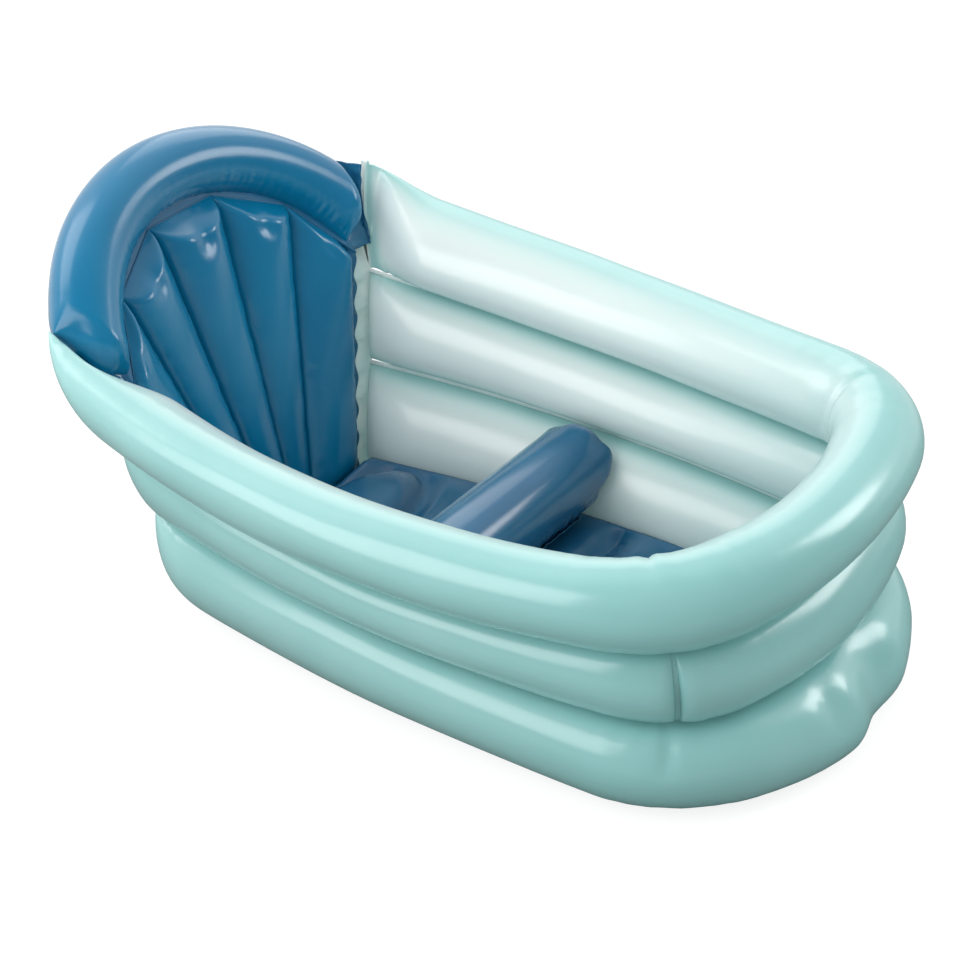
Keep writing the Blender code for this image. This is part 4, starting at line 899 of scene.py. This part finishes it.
def wall_end(height, axis):
    """X or y of the near sealed ends of the wall tubes at a height, straight between the weld lines."""
    ends = [line(0) for line in (bottom_line, lower_weld, upper_weld, rim_line)]
    for low, high in zip(ends, ends[1:]):
        if height <= high.z:
            break
    return low[axis] + (high[axis] - low[axis]) * (height - low.z) / (high.z - low.z)


def wall_end_x(height):
    """X of the head edge of the wall."""
    return wall_end(height, 0) - GAP


def wall_end_y(height):
    """How far out the head edge of the wall lies."""
    return abs(wall_end(height, 1))


def margin_top():
    """Top of the margins at the head end."""
    return upper_weld(0).z + 0.048


def margin_rows(surface, inner, outer, behind, high, side, seed, pinches, scallop):
    """Wavy film margin at the head end, pinched where a weld line ends, its outer edge scalloped."""
    head = bpy.context.scene.bathtub_head
    rows = []
    for index in range(161):
        part = index / 160
        height = SHEET_FOOT + (high - SHEET_FOOT) * part
        pinch = max([near(height, level, 0.010) for level in pinches] + [0])
        rise = height / margin_top()
        phase = 2 * math.pi * head.margin_waves * rise + 1.1 * unevenness(rise * 5, seed, 0)
        start, end = panel_edge_y(height) + inner, outer(height) + scallop * math.sin(phase)
        row = []
        for step in range(11):
            out = step / 10
            wave = head.margin_wave * math.sin(phase + out * 0.9) * math.sin(math.pi * out ** 0.8)
            wave *= (1 - 0.7 * pinch)
            back = behind + max(wave, -behind / 2) if behind else min(wave, 0)
            row.append(Vector((surface(height) - back, side * (start + (end - start) * out), height)))
        rows.append(row)
    return rows


class BATHTUB_OT_margins(bpy.types.Operator):
    """Build the wavy welded margins at the head end"""

    bl_idname = "bathtub.margins"
    bl_label = "Welded margins"

    def execute(self, context):
        pinches = (lower_weld(0).z, upper_weld(0).z)
        for label, side in (("near", -1), ("far", 1)):
            crown = margin_top() + (0.015 if side > 0 else 0)
            rows = margin_rows(wall_end_x, -0.004, lambda z: wall_end_y(z) + 0.004, 0.0018, crown, side,
                               3.0 + side, pinches, 0.0)
            name = "wall_margin_" + label
            place_piece(name, film_sheet(name, rows), "mint_pvc_flange", ("wall_head_margin_" + label,),
                        "mint_weld_film")
            rows = margin_rows(head_x, -0.002, lambda z: panel_edge_y(z) + 0.0105, 0.0, margin_top(), side,
                               1.0 + side, (), 0.0028)
            name = "panel_margin_" + label
            place_piece(name, film_sheet(name, rows), "blue_pvc_weld", ("backrest_margin_" + label,), "blue_film")
        return {"FINISHED"}


# Base, floor and bolster


class BATHTUB_OT_base(bpy.types.Operator):
    """Build the base sheet under the tub"""

    bl_idname = "bathtub.base"
    bl_label = "Base sheet"

    def execute(self, context):
        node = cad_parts["base_sheet"]
        node.data.materials.clear()
        node.data.materials.append(get_material("mint_pvc_weld"))
        return {"FINISHED"}


def floor_edge(share):
    """Inner foot of the lower tube, with the clearance of the floor."""
    low, high = bottom_line(share), lower_weld(share)
    away = outward(bottom_line, lower_weld, share)
    sideways = (high - low).dot(away) / 2
    swell = bpy.context.scene.bathtub_wall.lower_swell
    point = (low + high) / 2 - away * (math.hypot(swell, sideways) + 0.0006)
    return Vector((point.x, point.y, 0))


def floor_height(x, y, edge):
    """Top of the air floor: head strip, seat dome with its groove, leg ribs."""
    floor = bpy.context.scene.bathtub_floor
    seat_x, half_length, half_width, groove = -0.18125, 0.052, 0.134, 0.020
    rib_start, rib_pitch, edge_height = 0.04475, 0.070, 0.0365
    seat = math.hypot((x - seat_x) / half_length, y / half_width)
    groove_share = groove / half_length
    top = floor.height
    if x >= BOLSTER_X:
        phase = (x - rib_start) / rib_pitch
        body = top - floor.rib_depth * (1 - abs(math.cos(math.pi * phase)) ** 0.7)
        body = top + (body - top) * smooth((x - BOLSTER_X) / BOLSTER_RADIUS)
    else:
        strip = smooth((seat_x - half_length * (1 + groove_share) - x) / groove)
        cushion = 0.006 * smooth((-0.100 - x) / 0.050)
        body = top + cushion - 0.001 * strip
        ditch = max(0, 1 - abs(seat - 1) / groove_share)
        body -= floor.seat_groove * smooth(ditch) * (1 - strip)
        body += floor.seat_rise * math.sqrt(max(0, 1 - (seat / 0.92) ** 4))
    body += 0.0008 * unevenness(x * 40, y * 40, 2.0)
    return edge_height + (body - edge_height) * smooth(edge)


def panel_reach(y):
    """How far the fan swells towards the floor about a place across its foot."""
    furthest, reach = 0, 0.016
    for step in range(-8, 9):
        share = (y + reach * step / 8) / PANEL_FOOT_HALF
        for left, right in zip(RIB_FEET, RIB_FEET[1:]):
            if left <= share <= right:
                inside = (share - left) / (right - left)
                crown = math.sqrt(max(0, 1 - (2 * inside - 1) ** 2))
                furthest = max(furthest, 0.30 * (right - left) * PANEL_FOOT_HALF * crown)
    return furthest - 0.0025


class BATHTUB_OT_floor(bpy.types.Operator):
    """Build the air floor with its seat dome and leg ribs"""

    bl_idname = "bathtub.floor"
    bl_label = "Air floor"

    def execute(self, context):
        rows_count, columns = 150, 72
        seam = CORNER_SEAM
        first = floor_edge(0)
        start_x = HEAD_FOOT_X + panel_reach(first.y) + 0.0006
        start = (start_x - first.x) / (floor_edge(seam).x - first.x) * seam
        near_head, near_foot = floor_edge(start), floor_edge(seam)
        rows = []
        for row in range(rows_count + 1):
            along = row / rows_count
            line = []
            near_side = floor_edge(start + (seam - start) * along)
            far_side = Vector((near_side.x, -near_side.y, 0))
            for column in range(columns + 1):
                across = column / columns
                low = near_head.lerp(Vector((near_head.x, -near_head.y, 0)), across)
                head = low + Vector((panel_reach(low.y) - panel_reach(near_head.y), 0, 0))
                foot = floor_edge(seam + (2 - 2 * seam) * across)
                high = near_foot.lerp(Vector((near_foot.x, -near_foot.y, 0)), across)
                point = near_side.lerp(far_side, across) + head.lerp(foot, along) - low.lerp(high, along)
                side_edge = min(across, 1 - across) / 0.09
                foot_edge = (1 - along) / 0.08
                point.z = floor_height(point.x, point.y, min(side_edge, foot_edge))
                border = min(across, 1 - across, along, 1 - along) * 60
                point.z -= 0.012 * (1 - rounding(border, 1))
                line.append(seated(point))
            rows.append(line)
        mesh = skin("air_floor", rows, closed=False)
        model = bmesh.new()
        model.from_mesh(mesh)
        rim = [edge for edge in model.edges if edge.is_boundary]
        ring = bmesh.ops.extrude_edge_only(model, edges=rim)
        for vert in (item for item in ring["geom"] if isinstance(item, bmesh.types.BMVert)):
            vert.co.z = BASE_TOP + 0.001
            # The head edge reaches in below the fan, so that no gap shows between its channels
            if vert.co.x < HEAD_FOOT_X + 0.070 and abs(vert.co.y) < abs(near_head.y) - 0.002:
                vert.co.x = HEAD_FOOT_X + 0.0015
        loop = [edge for edge in model.edges if edge.is_boundary]
        bmesh.ops.contextual_create(model, geom=loop)
        bmesh.ops.recalc_face_normals(model, faces=model.faces)
        model.to_mesh(mesh)
        model.free()
        # Hole for the sleeve of the drain
        hole = link_object("drain_hole", turned("drain_hole", ((0, 0.06), (0.0135, 0.06), (0.0135, -0.02),
                                                               (0, -0.02))))
        hole.location = (DRAIN_X, 0, 0)

        def cut(boolean):
            boolean.object = hole

        holed = evaluated_mesh("air_floor", mesh, "BOOLEAN", cut)
        bpy.data.objects.remove(hole, do_unlink=True)
        place_piece("air_floor", holed, "navy_pvc_film", ("floor_mat",), "blue_film", fill=0.9)
        return {"FINISHED"}


class BATHTUB_OT_bolster(bpy.types.Operator):
    """Build the bolster roll with its folded ends and its weld strip"""

    bl_idname = "bathtub.bolster"
    bl_label = "Bolster"

    def execute(self, context):
        rows = []
        sides, radius = 72, BOLSTER_RADIUS
        # The ends lean out with the wall, bulge into its lower groove, and close over a short fillet
        lean = math.tan(math.radians(23.0))
        half, fillet, blunt = 0.1705, 0.018, 0.80
        insets = [fillet * (1 - math.cos(math.pi / 2 * step / 10)) for step in range(10)]
        shares = [(inset / half, blunt + (1 - blunt) * rounding(inset, fillet), 0.0) for inset in insets]
        caps = [(0.0, blunt * share, 0.0035 * (1 - share ** 2)) for share in (0.06, 0.25, 0.45, 0.62, 0.78, 0.92)]
        middle = [(fillet / half + (1 - fillet / half) * step / 60, 1.0, 0.0) for step in range(61)]
        # One run of rings from the near end to the far end
        side_run = [(-1, item) for item in caps + shares + middle]
        side_run += [(1, item) for item in reversed(caps + shares + middle[:-1])]
        for side, (inset_share, width, bulge) in side_run:
            inset = inset_share * half
            row = []
            for step in range(sides):
                angle = 2 * math.pi * step / sides
                over = math.sin(angle)
                press = 0.016 * near(over * width, 0.35, 0.33)
                reach = half - inset + bulge + (lean * over * radius * width + press) * (1 - inset_share)
                place = side * reach
                crimp = unevenness(place * 14, over * 2, 5.0) * 0.0004
                under = smooth((-over - 0.1) / 0.6) * unevenness(place * 120, 1.0, 3.0) * 0.0026
                edge = near(inset, 0.010, 0.014) * (1 if width > blunt else width)
                folds = edge * (0.0013 * math.sin(angle * 5 + 0.8) + 0.0008 * math.sin(angle * 11 + side))
                swell = (radius - 0.0015 + crimp + under) * width + folds
                height = over * swell
                lip = 0.0030 * near(angle, math.radians(333), 0.16) * near(inset, 0.0, 0.03)
                row.append(Vector((BOLSTER_X + math.cos(angle) * swell + lip, place, BOLSTER_CENTRE_Z + height)))
            rows.append(row)
        place_piece("bolster", skin("bolster", rows), "navy_pvc_film", ("bolster_roll",), "blue_film", fill=0.95)
        # The weld strip leaves the roll below, turned up by 38 degrees
        touch = radius + FILM / 2 + GAP
        angle = math.radians(38.0)
        along = Vector((math.cos(angle), 0, math.sin(angle)))
        root = Vector((BOLSTER_X + touch * math.sin(angle), 0, BOLSTER_CENTRE_Z - touch * math.cos(angle)))
        strip, strip_half, strip_width = [], 0.134, 0.011
        for index in range(121):
            side = 2 * index / 120 - 1
            middle = root + Vector((0, side * strip_half, 0))
            wave = unevenness(side * 18, 0, 9.0) * 0.0016
            strip.append([middle + along * (strip_width * step / 5) + Vector((wave * step / 5, 0, -wave * step / 5))
                          for step in range(6)])
        place_piece("bolster_weld", film_sheet("bolster_weld", strip), "navy_pvc_film", ("bolster_weld_strip",),
                    "blue_film")
        return {"FINISHED"}


# Backrest


def channel_swell(inside, from_foot, from_top, width, fullness):
    """Swell of a channel: crowned across, with a flat facet that folds down to its straight top seam."""
    across = 2 * inside - 1
    crown = fullness * width * math.sqrt(max(0, 1 - across ** 2))
    facet = 0.0002 + from_top * 1.05 + from_top * 0.25 * abs(across) ** 3
    swell = lower_of(crown * rounding(from_foot, width / 2), facet, 0.006)
    # Short fold in the middle of a channel, where it bends down to its top seam
    fold = near(across, 0.0, 0.26) * near(from_top, 0.36 * width, 0.18 * width)
    return max(swell - 0.0060 * fold * width / 0.1, 0)


class BATHTUB_OT_backrest(bpy.types.Operator):
    """Build the fan-ribbed backrest and the seam under the head roll"""

    bl_idname = "bathtub.backrest"
    bl_label = "Backrest"

    def execute(self, context):
        head = context.scene.bathtub_head
        rows_count, per_channel = 150, 22
        columns = [(channel, 0.5 - 0.5 * math.cos(math.pi * step / per_channel))
                   for channel in range(5) for step in range(per_channel)]
        columns.append((4, 1.0))
        foot_half = panel_edge_y(PANEL_LOW) - GAP
        head_half = panel_edge_y(BEND_HEIGHT) - GAP
        fronts, backs = [], []
        for row in range(rows_count + 1):
            part = 1 - (1 - row / rows_count) ** 1.25
            front, back = [], []
            for channel, inside in columns:
                foot_span = RIB_FEET[channel + 1] - RIB_FEET[channel]
                head_span = RIB_HEADS[channel + 1] - RIB_HEADS[channel]
                foot = RIB_FEET[channel] + foot_span * inside
                top = RIB_HEADS[channel] + head_span * inside
                top_height = BEND_HEIGHT + panel_top(top) * math.cos(HEADREST_LEAN)
                rib_foot = Vector((head_x(PANEL_LOW), foot * foot_half, PANEL_LOW))
                rib_head = Vector((head_x(top_height), top * (panel_edge_y(top_height) - GAP), top_height))
                rib = rib_head - rib_foot
                width = head_span * part * head_half + foot_span * (1 - part) * foot_half
                height = rib.length
                swell = channel_swell(inside, part * height, (1 - part) * height, width, head.fullness)
                beside = near(inside, 0.08, 0.09) + near(inside, 0.92, 0.09)
                crimp = unevenness(part * 26, channel * 3.1, inside * 3) * 0.0011 * beside
                slack = unevenness(part * 6, channel * 5.3, inside) * 0.0008
                base = rib_foot + rib * part
                normal = Vector((rib.z, 0, -rib.x)).normalized()
                relief = (crimp + slack) * min(1, swell / 0.006)
                front.append(base + normal * (0.0004 + max(swell + relief, 0)))
                back.append(base - normal * (0.0004 + swell))
            fronts.append(front)
            backs.append(back)
        rows = [front + list(reversed(back)) for front, back in zip(fronts, backs)]
        place_piece("backrest_fan", skin("backrest_fan", rows), "blue_pvc_film", ("backrest_panel",), "blue_film",
                    fill=0.9)
        # Flat seam between the panel's straight-sided top and the inner arc of the roll, and the bead along it
        half = panel_edge_y(BEND_HEIGHT)
        inner_arc = ROLL_BOW - ROLL_RADIUS
        rows, crease = [], []
        for index in range(181):
            share = -1 + 2 * index / 180
            low = panel_top(share) - 0.0015
            high = ROLL_CENTRE + math.sqrt(inner_arc ** 2 - (half * share) ** 2) + 0.004
            rows.append([headrest_plane(half * share, low + (high - low) * step / 6) for step in range(7)])
            crease.append(headrest_plane(half * share, low + 0.0012, 0.0004))
        place_piece("roll_seam", film_sheet("roll_seam", rows), "blue_pvc_weld", ("headrest_seam_strip",),
                    "blue_film")
        mesh = weld_strip("fan_top_weld", crease, 0.0026, 0.0010, 0.0024, 0.0002, "blue_pvc_weld")
        place_piece("fan_top_weld", mesh, "blue_pvc_weld", (), "blue_film")
        return {"FINISHED"}


class BATHTUB_OT_head_roll(bpy.types.Operator):
    """Build the arched head roll with its pinched ends, and the film past them"""

    bl_idname = "bathtub.head_roll"
    bl_label = "Head roll"

    def execute(self, context):
        head = context.scene.bathtub_head
        stations, sides = 240, 64
        limit = head.roll_half_angle
        rows = []
        for index in range(stations + 1):
            share = 2 * index / stations - 1
            share = math.copysign(1 - (1 - abs(share)) ** 1.35, share)
            row = []
            for step in range(sides):
                angle = 2 * math.pi * step / sides
                # The outer side of the roll stops short of its inner side, so that it ends in a point
                end = limit - ROLL_CORNER * smooth((math.cos(angle) + 0.45) / 1.5)
                turn = end * share
                inset = (1 - abs(share)) * end * ROLL_BOW
                wide = 1 + 0.05 * (1 - smooth(inset / 0.035))
                inner = smooth((-math.cos(angle) - 0.3) / 0.6)
                crimp = unevenness(turn * 30, 3.0, 1.0) * 0.0008 * inner
                broad = unevenness(turn * 2.2, math.sin(angle), math.cos(angle)) * 0.0012
                swell = ROLL_RADIUS + crimp + broad
                radius = ROLL_BOW + math.cos(angle) * swell * (wide if math.cos(angle) > 0 else 1)
                taper = 0.04 + 0.96 * rounding(inset, 0.030)
                pucker = 0.0012 * math.sin(angle * 9 + 2) * near(inset, 0.006, 0.008) * abs(math.sin(angle))
                forward = math.sin(angle) * (swell * taper + pucker)
                point = headrest_plane(radius * math.sin(turn), ROLL_CENTRE + radius * math.cos(turn), forward)
                row.append(seated(point))
            rows.append(row)
        place_piece("head_roll", skin("head_roll", rows), "blue_pvc_film", ("headrest_roll",), "blue_film",
                    fill=1.0)
        # Flaps past the sealed ends: each lies behind the roll, then turns forward along the end of the wall
        for label, side in (("near", -1), ("far", 1)):
            rows = []
            for index in range(49):
                row = []
                for step in range(21):
                    out = step / 20
                    top = 0.324 + 0.011 * out if side > 0 else 0.298
                    foot = 0.251 if side > 0 else 0.236
                    height = foot + (top - foot) * index / 48
                    back = head_x(height)
                    along = (height - BEND_HEIGHT) / math.cos(HEADREST_LEAN)
                    corner = wall_end_y(height) - (0.0015 if side > 0 else 0.0035)
                    start = max(min((along - ROLL_CENTRE) * math.tan(limit) * 0.93, corner - 0.012), 0.172)
                    fore = upright(back) + 0.002 if side > 0 else back + 0.004
                    wave = 0.0030 * unevenness(out * 7, height * 90, side)
                    if out <= 0.5:
                        y = start + (corner - start) * out * 2
                        row.append(Vector((back - 0.001 + wave, side * y, height)))
                    else:
                        x = back + (fore - back) * (out - 0.5) * 2
                        row.append(Vector((x, side * (corner + wave), height)))
                rows.append(row)
            name = "end_flap_" + label
            place_piece(name, film_sheet(name, rows), "blue_pvc_crinkle", ("headrest_end_flap_" + label,),
                        "blue_film")
        return {"FINISHED"}


# Valves and drain


class BATHTUB_OT_valves(bpy.types.Operator):
    """Build the push-in air valves: welded patch, stem and plug"""

    bl_idname = "bathtub.valves"
    bl_label = "Valves"

    def execute(self, context):
        for name, (place, axis) in VALVES.items():
            for piece, profile, body in (("valve_patch_", PATCH_PROFILE, "tub"),
                                         ("valve_stem_", STEM_PROFILE, "stem_" + name),
                                         ("valve_plug_", PLUG_PROFILE, "plug_" + name)):
                node = piece + name
                mesh = turned(node, profile)
                if body.startswith("plug"):
                    mesh = gripped(mesh, 18, 0.0076, 0.0048, (0.0007, 0.0010, 0.0007), "milky_soft_pvc")
                place_piece("soft_" + node, stand(mesh, place, axis), "milky_soft_pvc", (node,), "clear_plastic",
                            body)
        return {"FINISHED"}


class BATHTUB_OT_drain(bpy.types.Operator):
    """Build the drain collar and its plug"""

    bl_idname = "bathtub.drain"
    bl_label = "Drain"

    def execute(self, context):
        for node, profile, body in (("drain_collar", COLLAR_PROFILE, "tub"),
                                    ("drain_plug", DRAIN_PLUG_PROFILE, "drain_plug")):
            mesh = turned(node, profile, steps=96)
            if body == "drain_plug":
                mesh = gripped(mesh, 28, 0.0149, 0.0278, (0.0010, 0.0016, 0.0014), "milky_soft_pvc")
            place_piece("soft_" + node, stand(mesh, (DRAIN_X, 0, 0), (0, 0, 1)), "milky_soft_pvc", (node,),
                        "clear_plastic", body)
        return {"FINISHED"}


# Stage


class BATHTUB_OT_stage(bpy.types.Operator):
    """Set up the floor, the studio light and the camera"""

    bl_idname = "bathtub.stage"
    bl_label = "Stage"

    def execute(self, context):
        settings = context.scene.bathtub_stage
        model = bmesh.new()
        bmesh.ops.create_grid(model, x_segments=1, y_segments=1, size=8.0)
        ground = link_object("studio_floor", finished_mesh("studio_floor", model))
        # Matt white studio floor: a little glow keeps it white behind the tub and leaves the shadow
        paint = bpy.data.materials.new("studio_floor_paint")
        paint.use_nodes = True
        tree = paint.node_tree
        rays = add_node(tree, "ShaderNodeLightPath")
        seen = add_node(tree, "ShaderNodeMath", {0: rays.outputs["Is Camera Ray"], 1: 0.82}, operation="MULTIPLY")
        # Reflections show the floor white behind the tub, as they show the backdrop
        spot = add_node(tree, "ShaderNodeNewGeometry")
        past = add_node(tree, "ShaderNodeVectorMath", {0: spot.outputs["Position"], 1: (-0.64, 0.76, 0.0)},
                        operation="DOT_PRODUCT")
        glow = add_node(tree, "ShaderNodeMapRange",
                        {"Value": past.outputs["Value"], "From Min": 0.2, "From Max": 1.4, "To Min": 0.0,
                         "To Max": 0.75}, interpolation_type="SMOOTHSTEP")
        mirrored = add_node(tree, "ShaderNodeMath",
                            {0: rays.outputs["Is Glossy Ray"], 1: glow.outputs["Result"], 2: seen.outputs[0]},
                            operation="MULTIPLY_ADD")
        fill_inputs(tree, tree.nodes["Principled BSDF"], {
            "Base Color": linear("8F8F8F"), "Roughness": 0.9, "Specular IOR Level": 0.1,
            "Emission Color": (1, 1, 1, 1), "Emission Strength": mirrored.outputs[0]})
        ground.data.materials.append(paint)

        world = bpy.data.worlds.new("white_room")
        context.scene.world = world
        world.use_nodes = True
        tree = world.node_tree
        tree.nodes.clear()
        rays = add_node(tree, "ShaderNodeLightPath")
        shown = add_node(tree, "ShaderNodeMath",
                         {0: rays.outputs["Is Camera Ray"], 1: rays.outputs["Is Transmission Ray"]},
                         operation="MAXIMUM")
        # Reflections see the white backdrop behind the tub and a dim room at the camera's side
        way = add_node(tree, "ShaderNodeTexCoord")
        behind = add_node(tree, "ShaderNodeVectorMath", {0: way.outputs["Generated"], 1: (-0.64, 0.76, 0.1)},
                          operation="DOT_PRODUCT")
        gleam = add_node(tree, "ShaderNodeMapRange",
                         {"Value": behind.outputs["Value"], "From Min": -0.15, "From Max": 0.55,
                          "To Min": settings.room_gloss, "To Max": 1.0}, interpolation_type="SMOOTHSTEP")
        dim = add_node(tree, "ShaderNodeMix", {"Factor": rays.outputs["Is Glossy Ray"], "A": settings.room,
                                               "B": gleam.outputs["Result"]}, data_type="FLOAT")
        strength = add_node(tree, "ShaderNodeMix",
                            {"Factor": shown.outputs[0], "A": dim.outputs["Result"], "B": 1.0}, data_type="FLOAT")
        back = add_node(tree, "ShaderNodeBackground", {"Color": (1, 1, 1, 1), "Strength": strength.outputs["Result"]})
        add_node(tree, "ShaderNodeOutputWorld", {"Surface": back.outputs["Background"]})

        target = Vector(settings.target)
        lamps = (
            ("key_lamp", (-0.80, -2.15, 1.50), 2.0, settings.key_power),
            ("fill_lamp", (1.55, 1.70, 1.35), 0.9, settings.fill_power),
            ("back_lamp", (-1.20, 1.90, 1.55), 1.6, settings.back_power),
            ("head_lamp", (-1.75, -0.30, 1.65), 1.2, settings.head_power),
        )
        for name, place, size, power in lamps:
            light = bpy.data.lights.new(name, "AREA")
            light.shape = "SQUARE"
            light.size = size
            light.energy = power
            lamp = link_object(name, light)
            lamp.location = place
            lamp.rotation_euler = (Vector(place) - target).to_track_quat("Z", "Y").to_euler()

        azimuth, elevation = settings.azimuth, settings.elevation
        back_vector = Vector((math.sin(azimuth) * math.cos(elevation),
                              -math.cos(azimuth) * math.cos(elevation), math.sin(elevation)))
        data = bpy.data.cameras.new("photo_camera")
        data.sensor_width = 36.0
        data.lens = settings.lens
        data.clip_end = 50.0
        camera = link_object("photo_camera", data)
        camera.location = target + back_vector * settings.distance
        camera.rotation_euler = back_vector.to_track_quat("Z", "Y").to_euler()
        context.scene.camera = camera
        context.scene.view_settings.view_transform = "Standard"
        return {"FINISHED"}


class BATHTUB_PT_panel(bpy.types.Panel):
    """Buttons and sizes of the bathtub"""

    bl_idname = "BATHTUB_PT_panel"
    bl_label = "Baby bathtub"
    bl_space_type = "VIEW_3D"
    bl_region_type = "UI"
    bl_category = "Bathtub"

    def draw(self, context):
        layout = self.layout
        for operator in OPERATORS:
            layout.operator(operator.bl_idname)
        for key in SETTINGS:
            group = getattr(context.scene, key)
            box = layout.box()
            box.label(text=key)
            for name in group.bl_rna.properties.keys():
                if name not in {"rna_type", "name"}:
                    box.prop(group, name)


SETTINGS = {
    "bathtub_wall": BATHTUB_PG_wall,
    "bathtub_head": BATHTUB_PG_head,
    "bathtub_floor": BATHTUB_PG_floor,
    "bathtub_stage": BATHTUB_PG_stage,
}
OPERATORS = (
    BATHTUB_OT_wall,
    BATHTUB_OT_welds,
    BATHTUB_OT_margins,
    BATHTUB_OT_base,
    BATHTUB_OT_floor,
    BATHTUB_OT_bolster,
    BATHTUB_OT_backrest,
    BATHTUB_OT_head_roll,
    BATHTUB_OT_valves,
    BATHTUB_OT_drain,
    BATHTUB_OT_stage,
)


def register():
    """Register the settings, operators and panel."""
    for key, group in SETTINGS.items():
        bpy.utils.register_class(group)
        setattr(bpy.types.Scene, key, PointerProperty(type=group))
    for operator in OPERATORS:
        bpy.utils.register_class(operator)
    bpy.utils.register_class(BATHTUB_PT_panel)


def unregister():
    """Take the panel, operators and settings away again."""
    bpy.utils.unregister_class(BATHTUB_PT_panel)
    for operator in reversed(OPERATORS):
        bpy.utils.unregister_class(operator)
    for key, group in SETTINGS.items():
        delattr(bpy.types.Scene, key)
        bpy.utils.unregister_class(group)


def main():
    """Build every piece in order."""
    register()
    for operator in OPERATORS:
        area, name = operator.bl_idname.split(".")
        getattr(getattr(bpy.ops, area), name)()


if __name__ == "__main__":
    main()
